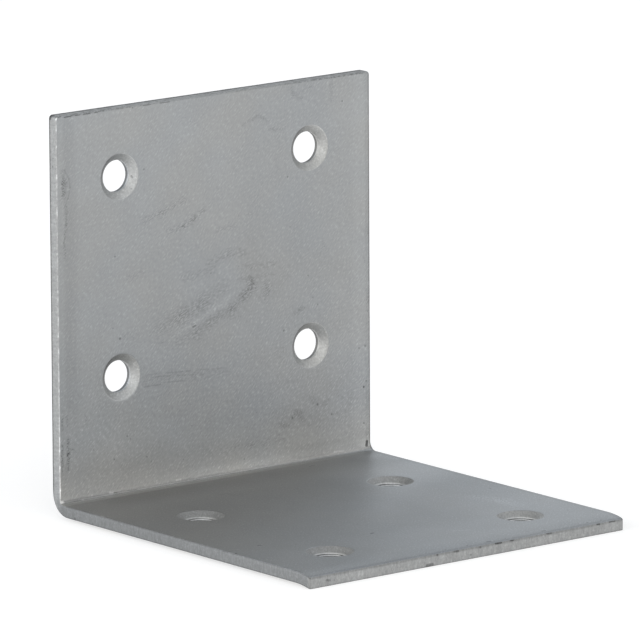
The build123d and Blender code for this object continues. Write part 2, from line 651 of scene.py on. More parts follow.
class NodeSheet:
    """A shader node tree, with short ways to place and join its nodes."""

    def __init__(self, tree: bpy.types.NodeTree) -> None:
        """Takes the tree that the nodes go into.

        Args:
            tree: a material's or a group's node tree.
        """
        self.tree = tree

    def node(self, kind: str, **settings: object) -> bpy.types.Node:
        """Adds a node.

        Args:
            kind: the node's type.
            settings: its own settings.

        Returns:
            The node.
        """
        made = self.tree.nodes.new(kind)
        for name, value in settings.items():
            setattr(made, name, value)
        return made

    def feed(self, socket: bpy.types.NodeSocket, value: object) -> None:
        """Joins a socket to another one, or sets its value.

        Args:
            socket: the input.
            value: another node's output, or a plain value.
        """
        if isinstance(value, bpy.types.NodeSocket):
            self.tree.links.new(value, socket)
        else:
            socket.default_value = value

    def math(self, operation: str, *values: object) -> bpy.types.NodeSocket:
        """A sum of one kind on plain numbers.

        Args:
            operation: what it does.
            values: its numbers or sockets.

        Returns:
            The result.
        """
        made = self.node("ShaderNodeMath", operation=operation)
        for socket, value in zip(made.inputs, values):
            self.feed(socket, value)
        return made.outputs[0]

    def vector(self, operation: str, *values: object) -> bpy.types.NodeSocket:
        """A sum of one kind on vectors.

        Args:
            operation: what it does.
            values: its vectors or sockets.

        Returns:
            The result, a number for a length and a vector otherwise.
        """
        made = self.node("ShaderNodeVectorMath", operation=operation)
        for socket, value in zip(made.inputs, values):
            self.feed(socket, value)
        number = operation in ("LENGTH", "DISTANCE", "DOT_PRODUCT")
        return made.outputs["Value" if number else "Vector"]

    def parts(self, vector: bpy.types.NodeSocket) -> list[bpy.types.NodeSocket]:
        """A vector's three numbers.

        Args:
            vector: the vector.

        Returns:
            Its X, Y and Z.
        """
        made = self.node("ShaderNodeSeparateXYZ")
        self.feed(made.inputs[0], vector)
        return list(made.outputs)

    def joined(self, *numbers: object) -> bpy.types.NodeSocket:
        """Three numbers as a vector.

        Args:
            numbers: its X, Y and Z.

        Returns:
            The vector.
        """
        made = self.node("ShaderNodeCombineXYZ")
        for socket, number in zip(made.inputs, numbers):
            self.feed(socket, number)
        return made.outputs["Vector"]

    def total(self, *numbers: object) -> bpy.types.NodeSocket:
        """The sum of some numbers."""
        return reduce(lambda one, other: self.math("ADD", one, other), numbers)

    def product(self, *numbers: object) -> bpy.types.NodeSocket:
        """The product of some numbers."""
        return reduce(lambda one, other: self.math("MULTIPLY", one, other), numbers)

    def scaled(self, vector: bpy.types.NodeSocket, share: object) -> bpy.types.NodeSocket:
        """A vector or colour times a number.

        Args:
            vector: the vector or colour.
            share: the number.

        Returns:
            The product.
        """
        made = self.node("ShaderNodeVectorMath", operation="SCALE")
        self.feed(made.inputs[0], vector)
        self.feed(made.inputs["Scale"], share)
        return made.outputs["Vector"]

    def ramp(
        self, value: object, low: object, high: object, start: float = 0.0, stop: float = 1.0
    ) -> bpy.types.NodeSocket:
        """A soft step.

        Args:
            value: the number that it follows.
            low: where the step starts.
            high: where it ends.
            start: its result below the step.
            stop: its result above the step.

        Returns:
            The result.
        """
        made = self.node("ShaderNodeMapRange", interpolation_type="SMOOTHSTEP")
        for name, given in (("Value", value), ("From Min", low), ("From Max", high),
                            ("To Min", start), ("To Max", stop)):
            self.feed(made.inputs[name], given)
        return made.outputs["Result"]

    def noise(
        self, point: bpy.types.NodeSocket, scale: float, detail: float = 2.0, rough: float = 0.5
    ) -> bpy.types.NodeSocket:
        """A noise pattern.

        Args:
            point: where it is read, in millimetres.
            scale: its waves in each millimetre.
            detail: how many finer layers it has.
            rough: how strong those are.

        Returns:
            The noise, about a half on average.
        """
        made = self.node("ShaderNodeTexNoise")
        self.feed(made.inputs["Vector"], point)
        for name, given in (("Scale", scale), ("Detail", detail), ("Roughness", rough)):
            self.feed(made.inputs[name], given)
        return made.outputs["Fac"]

    def dots(
        self, point: bpy.types.NodeSocket, apart: float, radius: float, share: float
    ) -> bpy.types.NodeSocket:
        """Small round dots, scattered at random.

        Args:
            point: where they are read, in millimetres.
            apart: how far apart the places for dots are.
            radius: how large a dot is.
            share: the share of the places that hold one.

        Returns:
            A mask of the dots.
        """
        made = self.node("ShaderNodeTexVoronoi")
        self.feed(made.inputs["Vector"], point)
        self.feed(made.inputs["Scale"], 1 / apart)
        held = self.math("LESS_THAN", self.parts(made.outputs["Color"])[0], share)
        spot = self.ramp(made.outputs["Distance"], radius / apart / 2, radius / apart, 1.0, 0.0)
        return self.math("MULTIPLY", spot, held)

    def turned(self, point: bpy.types.NodeSocket, angle: object) -> bpy.types.NodeSocket:
        """A flat point turned about the Z axis.

        Args:
            point: the point.
            angle: the angle in radians.

        Returns:
            The turned point.
        """
        made = self.node("ShaderNodeVectorRotate", rotation_type="Z_AXIS")
        self.feed(made.inputs["Vector"], point)
        self.feed(made.inputs["Angle"], angle)
        return made.outputs["Vector"]

    def group(self, tree: bpy.types.NodeTree, **values: object) -> bpy.types.Node:
        """Places an effect.

        Args:
            tree: the effect's node group.
            values: its inputs, by name with an underscore for a space.

        Returns:
            The group's node.
        """
        made = self.node("ShaderNodeGroup", node_tree=tree)
        for name, value in values.items():
            self.feed(made.inputs[name.replace("_", " ")], value)
        return made


@dataclass
class Effect:
    """A surface effect that several finishes use, as a shader node group.

    Attributes:
        name: the group's name.
        inputs: its inputs, each a number or a vector.
        outputs: its outputs, which are all numbers.
    """

    name: str
    inputs: dict[str, str]
    outputs: tuple[str, ...]

    def __post_init__(self) -> None:
        """Makes the group's sockets."""
        self.tree = bpy.data.node_groups.new(self.name, "ShaderNodeTree")
        for name, kind in self.inputs.items():
            self.tree.interface.new_socket(
                name=name, in_out="INPUT", socket_type=f"NodeSocket{kind}"
            )
        for name in self.outputs:
            self.tree.interface.new_socket(
                name=name, in_out="OUTPUT", socket_type="NodeSocketFloat"
            )
        self.sheet = NodeSheet(self.tree)
        self.inlet = self.sheet.node("NodeGroupInput").outputs
        self.outlet = self.sheet.node("NodeGroupOutput").inputs


@unique
class MarkKind(Enum):
    """How a mark on the zinc looks: the share of light it takes, and how hard its edge is."""

    RUB = (0.065, 0.0)
    STAIN = (0.15, 0.0)
    PALE = (-0.08, 0.0)
    SPECK = (0.42, 0.4)
    # A painted highlight: a small sharp mark lighter than the coat
    PAINTED_GLINT = (-0.30, 0.4)

    @property
    def loss(self) -> float:
        """The share of the light that the mark takes, below nought where it is lighter."""
        return self.value[0]

    @property
    def core(self) -> float:
        """The share of the mark's half width that is evenly dark or light."""
        return self.value[1]

    @property
    def crisp(self) -> bool:
        """Whether the mark is a small sharp one, with no grain of its own."""
        return self in (MarkKind.SPECK, MarkKind.PAINTED_GLINT)


@dataclass(frozen=True)
class Mark:
    """One mark left by rolling, handling or storing, as a stroke along a few points.

    The glints among them are painted highlights.

    Attributes:
        kind: how it looks.
        width: how wide the stroke is, in millimetres.
        points: the places it runs through, in millimetres. On a skin they are along X from the
            middle, and away from the heel along the leg. On a cut face they are X, Y and Z.
        share: how strong it is next to others of its kind.
    """

    kind: MarkKind
    width: float
    points: tuple[tuple[float, ...], ...]
    share: float = 1.0


RUB, STAIN, PALE = MarkKind.RUB, MarkKind.STAIN, MarkKind.PALE
SPECK, PAINTED_GLINT = MarkKind.SPECK, MarkKind.PAINTED_GLINT

WALL_MARKS = (
    # The rubbed patch in the middle
    Mark(RUB, 3.4, ((-7.4, 23.8), (-3.6, 24.6), (-1.0, 25.9), (3.0, 27.3), (5.6, 29.2)), 0.65),
    Mark(RUB, 3.2, ((5.5, 29.0), (7.0, 30.4), (6.9, 31.4)), 0.9),
    Mark(STAIN, 2.2, ((-3.0, 25.4), (0.4, 26.7), (3.2, 27.7), (5.6, 29.3)), 0.34),
    Mark(STAIN, 1.8, ((5.4, 29.2), (6.8, 30.4), (6.9, 31.3), (5.2, 31.7)), 0.34),
    Mark(STAIN, 1.0, ((4.2, 31.7), (6.3, 31.8), (8.4, 31.5)), 0.4),
    Mark(RUB, 5.0, ((-10.6, 26.4), (-6.6, 27.6), (-2.7, 28.9), (1.0, 30.8)), 0.7),
    Mark(RUB, 3.2, ((9.2, 31.2), (10.0, 29.6), (9.2, 28.4)), 0.55),
    Mark(PALE, 0.9, ((-8.5, 24.6), (-5.5, 25.7), (-4.3, 26.2)), 0.8),
    Mark(PALE, 1.2, ((-4.3, 26.2), (-0.5, 27.8), (2.8, 29.5)), 0.8),
    Mark(PALE, 0.5, ((-9.2, 28.6), (-8.3, 29.3)), 0.9),
    Mark(SPECK, 0.42, ((-4.5, 25.6), (-4.0, 25.75)), 0.7),
    Mark(STAIN, 0.5, ((-9.7, 27.1), (-8.0, 27.6), (-6.1, 28.2), (-3.9, 29.2)), 0.4),
    Mark(STAIN, 0.5, ((2.6, 25.8), (4.7, 26.1)), 0.8),
    # The fainter ones above it
    Mark(RUB, 2.6, ((-1.4, 34.9), (2.3, 35.9), (5.2, 35.7)), 0.8),
    Mark(RUB, 2.4, ((-6.2, 33.4), (-0.4, 33.9)), 0.7),
    Mark(RUB, 2.0, ((5.5, 33.4), (11.0, 33.3)), 0.7),
    Mark(STAIN, 0.45, ((9.9, 31.9), (11.4, 31.6)), 0.8),
    Mark(RUB, 2.0, ((-13.8, 43.2), (-10.3, 43.8), (-6.1, 45.4)), 0.8),
    Mark(RUB, 1.8, ((-9.2, 40.8), (-6.0, 41.4), (-4.4, 42.1), (-2.2, 43.4)), 1.0),
    Mark(RUB, 1.4, ((0.3, 39.7), (3.6, 40.1)), 0.7),
    Mark(RUB, 0.7, ((4.3, 41.6), (7.2, 41.7)), 0.7),
    Mark(RUB, 2.6, ((-16.6, 34.7), (-14.2, 35.2)), 0.5),
    # The top edge and the upper right
    Mark(STAIN, 0.8, ((5.3, 55.4), (7.0, 56.0), (8.0, 56.4), (9.2, 56.1), (10.2, 55.4)), 0.6),
    Mark(STAIN, 1.2, ((10.6, 54.2), (11.9, 54.0)), 0.8),
    Mark(STAIN, 0.7, ((12.5, 53.9), (13.4, 53.9)), 0.7),
    Mark(RUB, 0.3, ((-6.3, 58.1), (-4.4, 57.0), (-3.1, 56.3), (-1.0, 54.9)), 0.9),
    Mark(STAIN, 1.1, ((14.8, 60.2), (14.8, 58.6)), 0.55),
    Mark(STAIN, 1.5, ((15.4, 59.0), (16.6, 58.2)), 0.6),
    Mark(RUB, 1.4, ((17.1, 59.4), (18.7, 59.7)), 0.6),
    Mark(STAIN, 1.1, ((22.5, 60.4), (22.5, 57.2)), 0.55),
    Mark(PALE, 0.5, ((21.6, 60.0), (21.6, 57.5)), 0.6),
    Mark(RUB, 0.8, ((20.6, 35.9), (20.9, 34.8), (20.2, 33.6)), 0.8),
    Mark(SPECK, 0.30, ((-28.4, 60.55), (-27.2, 60.6)), 1.0),
    Mark(SPECK, 0.26, ((-26.4, 60.6), (-25.6, 60.6)), 0.9),
    Mark(SPECK, 0.28, ((-24.9, 60.55), (-23.6, 60.6)), 0.8),
    Mark(SPECK, 0.24, ((-22.8, 60.6), (-22.2, 60.6)), 0.7),
    Mark(PALE, 0.4, ((-28.6, 60.2), (-22.0, 60.3)), 0.9),
    Mark(SPECK, 0.30, ((-15.6, 60.5),), 0.9),
    Mark(SPECK, 0.24, ((-13.6, 60.6), (-12.2, 60.6)), 0.7),
    Mark(SPECK, 0.24, ((-10.4, 60.6), (-8.6, 60.6)), 0.7),
    # Small specks, and small painted highlights
    Mark(SPECK, 0.40, ((24.6, 56.8),), 0.9),
    Mark(SPECK, 0.46, ((-13.6, 50.9),), 0.6),
    Mark(SPECK, 0.40, ((13.9, 46.4),), 0.8),
    Mark(SPECK, 0.36, ((14.3, 38.6),), 0.5),
    Mark(SPECK, 0.38, ((-19.2, 38.3),), 0.8),
    Mark(SPECK, 0.36, ((-1.0, 33.4),), 0.6),
    Mark(SPECK, 0.36, ((4.4, 33.8),), 0.5),
    Mark(PAINTED_GLINT, 0.40, ((0.6, 33.2),), 0.6),
    Mark(PAINTED_GLINT, 0.36, ((-7.4, 38.2),), 0.6),
    Mark(SPECK, 0.38, ((17.8, 30.6),), 0.7),
    Mark(SPECK, 0.36, ((18.7, 27.1),), 0.5),
    Mark(SPECK, 0.36, ((19.6, 25.9),), 0.6),
    Mark(SPECK, 0.44, ((4.4, 29.3),), 0.5),
    Mark(SPECK, 0.50, ((13.0, 22.7),), 0.7),
    Mark(PAINTED_GLINT, 0.34, ((13.4, 22.9),), 0.6),
    Mark(STAIN, 1.5, ((15.1, 25.1), (16.1, 25.5), (17.0, 25.7)), 0.6),
    Mark(STAIN, 0.5, ((12.8, 20.1), (12.9, 19.2)), 0.7),
    Mark(SPECK, 0.36, ((-19.7, 27.4),), 0.5),
    Mark(SPECK, 0.55, ((-18.4, 25.65),), 0.9),
    Mark(STAIN, 0.45, ((-17.9, 25.8), (-17.3, 25.9)), 0.9),
    Mark(RUB, 0.6, ((-15.9, 25.4), (-15.3, 26.1)), 1.0),
    Mark(STAIN, 0.4, ((-11.1, 23.9), (-9.9, 24.2)), 0.6),
    # Dashed scratches beside the lower left hole
    Mark(SPECK, 0.34, ((-13.6, 19.4), (-10.5, 19.3)), 0.16),
    Mark(SPECK, 0.34, ((-9.6, 19.2), (-5.0, 18.9)), 0.28),
    Mark(SPECK, 0.30, ((-3.9, 18.8), (1.6, 18.5)), 0.16),
    Mark(SPECK, 0.34, ((-12.2, 18.9), (-9.0, 18.7)), 0.26),
    Mark(SPECK, 0.30, ((-7.5, 18.5), (-4.0, 18.2)), 0.18),
    Mark(SPECK, 0.36, ((-13.9, 17.6), (-10.8, 17.6)), 0.3),
    Mark(SPECK, 0.30, ((-10.2, 17.8), (-6.0, 17.5)), 0.2),
    Mark(RUB, 3.0, ((-13.6, 18.6), (1.8, 17.8)), 0.55),
    # The left edge
    Mark(STAIN, 1.6, ((-28.9, 52.4), (-28.6, 50.6), (-28.8, 48.4)), 0.8),
    Mark(STAIN, 0.8, ((-28.9, 51.2), (-28.8, 48.9)), 1.1),
    Mark(SPECK, 0.34, ((-28.5, 52.6), (-27.7, 51.2), (-27.5, 49.8)), 0.22),
    Mark(SPECK, 0.34, ((-27.5, 49.8), (-27.9, 48.2), (-28.7, 46.9)), 0.28),
    Mark(STAIN, 0.6, ((-28.2, 47.0), (-28.3, 44.1), (-28.7, 41.6), (-28.6, 39.4)), 1.1),
    Mark(STAIN, 0.7, ((-29.4, 14.8), (-29.4, 13.2)), 1.8),
    Mark(STAIN, 0.6, ((-28.5, 15.4), (-28.5, 13.6)), 1.0),
    Mark(STAIN, 0.7, ((-29.4, 11.0), (-29.5, 6.8)), 1.8),
    Mark(STAIN, 1.0, ((-28.4, 11.6), (-28.3, 9.2), (-28.5, 7.0)), 1.9),
    Mark(STAIN, 0.6, ((-28.1, 10.1), (-27.3, 9.8), (-26.5, 9.2)), 1.0),
    Mark(STAIN, 0.5, ((-25.0, 14.7), (-25.0, 13.4)), 1.2),
    Mark(RUB, 0.7, ((-19.5, 13.8), (-19.5, 12.8)), 0.6),
    # The lower part
    Mark(SPECK, 0.42, ((-17.2, 10.5),), 0.9),
    Mark(SPECK, 0.34, ((-16.6, 10.0),), 0.6),
    Mark(SPECK, 0.34, ((-23.6, 9.3),), 0.5),
    Mark(SPECK, 0.34, ((-21.0, 9.3),), 0.4),
    Mark(SPECK, 0.40, ((-19.7, 7.3),), 0.8),
    Mark(SPECK, 0.40, ((-13.5, 6.8),), 0.8),
    Mark(SPECK, 0.36, ((-12.7, 6.0),), 0.5),
    Mark(PAINTED_GLINT, 0.36, ((-13.1, 7.7),), 0.7),
    Mark(SPECK, 0.36, ((-6.5, 5.4),), 0.6),
    Mark(SPECK, 0.36, ((-4.9, 10.4),), 0.4),
    Mark(SPECK, 0.36, ((5.2, 3.8),), 0.8),
    Mark(STAIN, 0.5, ((7.5, 10.9), (7.9, 10.0)), 0.8),
    Mark(STAIN, 1.1, ((12.1, 8.4), (13.0, 7.9), (13.9, 7.9)), 0.8),
    Mark(STAIN, 1.9, ((14.7, 8.8), (15.3, 9.5), (16.3, 9.2), (16.5, 8.2)), 0.6),
    Mark(STAIN, 2.0, ((18.2, 11.6), (19.4, 10.4)), 0.5),
    Mark(STAIN, 1.4, ((20.6, 10.1), (21.5, 10.6)), 0.7),
    Mark(SPECK, 0.5, ((19.5, 10.3),), 0.8),
    Mark(SPECK, 0.5, ((14.6, 8.9),), 0.8),
    Mark(SPECK, 0.45, ((22.3, 8.4),), 0.8),
    Mark(STAIN, 0.5, ((22.3, 8.4), (23.6, 8.5)), 0.5),
    Mark(STAIN, 1.0, ((23.5, 11.2), (24.6, 10.5)), 0.6),
    Mark(STAIN, 1.2, ((26.0, 10.8), (25.9, 9.5)), 0.5),
    Mark(RUB, 2.6, ((-0.7, 5.6), (6.3, 5.7), (12.7, 5.9)), 0.6),
    # The crease of the fold: dark cracks, and painted highlights along the top of the bend
    Mark(SPECK, 0.24, ((-29.0, 1.7), (-27.4, 1.8), (-24.7, 1.75)), 0.9),
    Mark(SPECK, 0.30, ((-19.8, 2.1), (-19.3, 2.0)), 1.0),
    Mark(SPECK, 0.20, ((-17.4, 2.0), (-15.6, 1.95)), 0.6),
    Mark(PAINTED_GLINT, 0.50, ((-20.6, 2.3), (-20.1, 2.2)), 1.4),
    Mark(PAINTED_GLINT, 0.40, ((-7.9, 2.4), (-7.1, 2.4)), 1.0),
    Mark(PAINTED_GLINT, 0.40, ((6.6, 2.4),), 1.0),
    Mark(PAINTED_GLINT, 0.36, ((22.8, 2.4), (24.6, 2.35)), 0.8),
    # The right edge
    Mark(STAIN, 0.6, ((29.4, 37.3), (29.4, 35.5)), 0.8),
    Mark(STAIN, 0.6, ((28.9, 31.9), (28.9, 31.2)), 0.7),
    Mark(STAIN, 1.0, ((29.5, 26.7), (29.5, 25.0)), 0.9),
    Mark(SPECK, 0.45, ((29.4, 23.6),), 0.5),
    Mark(SPECK, 0.55, ((28.9, 18.2),), 0.7),
    Mark(SPECK, 0.5, ((27.7, 18.0),), 0.6),
    Mark(SPECK, 0.5, ((28.6, 11.8),), 1.3),
    Mark(SPECK, 0.4, ((29.1, 12.7),), 0.9),
    Mark(STAIN, 0.6, ((29.2, 11.2), (29.2, 8.2)), 0.6),
    Mark(SPECK, 0.45, ((28.6, 6.1),), 0.9),
    Mark(SPECK, 0.7, ((29.1, 2.5), (29.2, 3.1)), 1.6),
    Mark(STAIN, 0.5, ((29.2, 3.2), (29.2, 4.2)), 0.8),
)

BASE_MARKS = (
    Mark(SPECK, 0.5, ((-6.4, 46.6), (-5.9, 46.5)), 1.1),
    Mark(SPECK, 0.4, ((-7.6, 46.3),), 0.5),
    Mark(SPECK, 0.45, ((-24.0, 42.0), (-23.7, 42.2)), 1.1),
    Mark(SPECK, 0.36, ((-19.9, 44.1),), 0.5),
    Mark(SPECK, 0.36, ((-19.3, 44.9),), 0.5),
    Mark(PAINTED_GLINT, 0.36, ((-17.1, 29.7),), 0.8),
    Mark(PAINTED_GLINT, 0.36, ((-17.7, 35.2),), 0.8),
    Mark(PALE, 1.2, ((-28.7, 49.4), (-28.5, 50.6)), 1.0),
    Mark(SPECK, 0.5, ((26.5, 34.6),), 0.7),
    Mark(SPECK, 0.4, ((27.2, 45.3),), 0.6),
    Mark(SPECK, 0.4, ((25.9, 53.4),), 0.6),
    Mark(SPECK, 0.4, ((-4.0, 40.4),), 0.4),
    Mark(PALE, 5.0, ((21.0, 37.5), (22.5, 42.0), (22.0, 46.0)), 0.7),
    Mark(PAINTED_GLINT, 0.5, ((24.7, 41.7),), 0.6),
    Mark(PALE, 2.0, ((4.4, 53.0), (6.0, 53.8)), 0.6),
    Mark(PALE, 1.2, ((28.6, 8.4), (28.7, 9.8)), 1.2),
    Mark(PAINTED_GLINT, 0.4, ((13.7, 26.3),), 0.6),
    Mark(RUB, 2.5, ((-7.1, 11.9), (-5.0, 13.7)), 0.5),
    Mark(SPECK, 0.6, ((15.2, 5.3), (16.0, 5.1)), 0.5),
    Mark(SPECK, 0.45, ((26.1, 61.0),), 0.9),
    Mark(SPECK, 0.5, ((23.5, 61.0),), 0.8),
    Mark(SPECK, 0.4, ((15.3, 61.0), (14.7, 61.0)), 0.8),
    Mark(SPECK, 0.4, ((7.6, 61.0),), 0.8),
    Mark(SPECK, 0.4, ((4.7, 61.1), (4.0, 61.1)), 0.9),
    Mark(SPECK, 0.4, ((0.3, 61.0),), 0.7),
    Mark(SPECK, 0.4, ((-3.9, 61.0),), 0.7),
    Mark(SPECK, 0.4, ((-7.5, 61.0),), 0.7),
    Mark(PAINTED_GLINT, 0.4, ((-29.7, 6.7),), 1.2),
    Mark(PAINTED_GLINT, 0.4, ((-29.7, 11.6), (-29.7, 12.3)), 1.2),
    Mark(PAINTED_GLINT, 0.36, ((-29.75, 26.5),), 1.0),
    Mark(PAINTED_GLINT, 0.36, ((-29.75, 29.2),), 1.0),
    Mark(PAINTED_GLINT, 0.36, ((-29.75, 36.1),), 1.0),
    Mark(SPECK, 0.5, ((-29.7, 44.0),), 1.2),
    Mark(SPECK, 0.5, ((-29.7, 58.0),), 0.8),
)


# Y of the lying leg's free end, and X of the strip's left side
FREE_END = -30.75
LEFT_SIDE = -30.0

CUT_MARKS = (
    Mark(SPECK, 0.5, ((LEFT_SIDE, 29.9, 53.6),), 1.0),
    Mark(SPECK, 0.36, ((LEFT_SIDE, 29.8, 54.9),), 0.8),
    Mark(SPECK, 1.0, ((LEFT_SIDE, 30.5, 60.9),), 1.2),
    Mark(SPECK, 0.5, ((LEFT_SIDE, 25.3, 0.75),), 0.8),
    Mark(SPECK, 0.4, ((LEFT_SIDE, 21.0, 0.7),), 0.7),
    Mark(SPECK, 0.5, ((-26.8, FREE_END, 0.95), (-26.2, FREE_END, 0.85)), 0.7),
    Mark(SPECK, 0.4, ((-25.4, FREE_END, 0.78),), 0.6),
    Mark(PAINTED_GLINT, 0.3, ((-20.8, FREE_END, 0.7), (-20.7, FREE_END, 1.3)), 0.8),
    Mark(PAINTED_GLINT, 0.3, ((-20.2, FREE_END, 0.7), (-20.1, FREE_END, 1.3)), 0.7),
    Mark(SPECK, 0.7, ((-7.9, FREE_END, 0.28), (-6.9, FREE_END, 0.3)), 1.0),
    Mark(SPECK, 0.5, ((-6.0, FREE_END, 1.62),), 0.9),
    Mark(SPECK, 0.5, ((-2.7, FREE_END, 1.65), (-2.0, FREE_END, 1.62)), 0.9),
    Mark(SPECK, 0.4, ((0.4, FREE_END, 0.7),), 0.7),
    Mark(SPECK, 0.5, ((2.2, FREE_END, 1.55),), 0.9),
    Mark(SPECK, 0.6, ((5.2, FREE_END, 1.72), (6.2, FREE_END, 1.7)), 1.4),
    Mark(SPECK, 0.45, ((8.0, FREE_END, 1.72), (8.6, FREE_END, 1.7)), 1.2),
    Mark(SPECK, 0.5, ((15.0, FREE_END, 1.72), (15.8, FREE_END, 1.7)), 1.0),
    Mark(SPECK, 0.5, ((24.8, FREE_END, 1.7), (25.2, FREE_END, 1.7)), 1.3),
    Mark(SPECK, 0.4, ((27.2, FREE_END, 1.7), (28.2, FREE_END, 1.7)), 1.2),
)

CONE_MARKS = (
    Mark(SPECK, 0.42, ((-15.5, 29.56, 50.5), (-15.3, 29.56, 50.2)), 0.8),
    Mark(SPECK, 0.4, ((-15.8, 29.22, 48.6),), 0.7),
)


@unique
class Guide(Enum):
    """What a change of tone follows: a place in millimetres, or a pattern about a half."""

    ACROSS = "X, from the middle of the strip"
    SIDE = "X without its sign"
    EDGE = "X, wavering much"
    LIP = "X, wavering a little"
    OUT = "Y"
    UP = "Z"
    ALONG = "from the inner corner, up the standing leg or, below nought, along the lying one"
    SLANT = "that place along the strip, leaning with X"
    WARM_SLANT = "that place along the strip, leaning a little more"
    CREASE = "that place along the strip, wavering a little"
    DEPTH = "into the sheet, from its outer face"
    TORN = "that depth, wavering a little"
    BUMPS = "a coarse pattern in space"
    SPECKS = "a finer pattern in space"
    DOTS = "a pattern on the unfolded strip"


@dataclass(frozen=True)
class Pattern:
    """A random pattern about a half.

    Attributes:
        waves: its waves in each millimetre.
        detail: how many finer layers it has.
        rough: how strong those are.
    """

    waves: float
    detail: float = 2.0
    rough: float = 0.6


@dataclass(frozen=True)
class Waver:
    """A random part that is added to a place or a tone.

    Attributes:
        pattern: the pattern that it follows.
        reach: the most that it adds, in millimetres or as a share of the tone.
    """

    pattern: Pattern
    reach: float


@dataclass(frozen=True)
class Fade:
    """A soft step from one number to another.

    Attributes:
        guide: what it follows.
        low: where it starts.
        high: where it ends.
        start: its number below that.
        stop: its number above that.
        shift: how far its end moves for each millimetre of X.
    """

    guide: Guide
    low: float
    high: float
    start: float = 0.0
    stop: float = 1.0
    shift: float = 0.0


@dataclass(frozen=True)
class Layer:
    """A slowly changing factor on a finish's tone.

    Attributes:
        plain: the factor where no change reaches.
        changes: what is added to it, each the product of a few fades.
    """

    plain: float
    changes: tuple[tuple[Fade, ...], ...]


ACROSS, SIDE, EDGE, LIP = Guide.ACROSS, Guide.SIDE, Guide.EDGE, Guide.LIP
OUT, UP, ALONG, SLANT = Guide.OUT, Guide.UP, Guide.ALONG, Guide.SLANT
CREASE, DEPTH, TORN = Guide.CREASE, Guide.DEPTH, Guide.TORN
BUMPS, SPECKS, DOTS = Guide.BUMPS, Guide.SPECKS, Guide.DOTS

SLOPES = {Guide.SLANT: -0.75, Guide.WARM_SLANT: -0.8}
WAVERS = {
    Guide.EDGE: Waver(Pattern(0.5), 0.8),
    Guide.LIP: Waver(Pattern(0.5), 0.1),
    Guide.CREASE: Waver(Pattern(0.6, 3.0), 0.2),
    Guide.TORN: Waver(Pattern(2.0), 0.16),
}
PATTERNS = {
    Guide.BUMPS: Pattern(0.8, 3.0),
    Guide.SPECKS: Pattern(1.1, 3.0, 0.65),
    Guide.DOTS: Pattern(1.5, 3.0, 0.7),
}

# Painted shade on the strip that bends away along the sheared side towards +X
RIGHT_BORDER = (Fade(EDGE, 29.2, 29.6, 1.0, 0.94), Fade(LIP, 29.58, 29.82, 1.0, 0.6))

# Where the painted shade at the foot of the tight bend lies, but not the last millimetre at the
# left
BEND_FOOT = (
    Fade(ACROSS, -29.7, -29.1), Fade(CREASE, -0.15, 0.15), Fade(CREASE, 0.38, 0.68, 1.0, 0.0),
)

CREASE_LAYER = Layer(1.0, (
    # The light that the bend catches below and above its foot
    (Fade(CREASE, -1.8, -0.5, 0.0, 0.85), Fade(CREASE, -0.4, -0.05, 1.0, 0.0),
     Fade(ACROSS, -10.0, 24.0, 1.0, 0.45)),
    (Fade(ACROSS, -28.0, 14.0, 0.0, 0.27), Fade(ACROSS, 22.0, 28.0, 1.0, 0.3),
     Fade(CREASE, 0.35, 0.75), Fade(CREASE, 0.9, 2.4, 1.0, 0.0)),
    # Painted shade at the foot itself
    (Fade(ACROSS, -28.0, -10.0, -0.08, 0.0), *BEND_FOOT),
    (Fade(ACROSS, -6.0, 28.0, -0.54, -0.2), *BEND_FOOT),
))

# The left arris of the standing leg
LEFT_ARRIS = Fade(ACROSS, -29.9, -29.75, 1.0, 0.0)

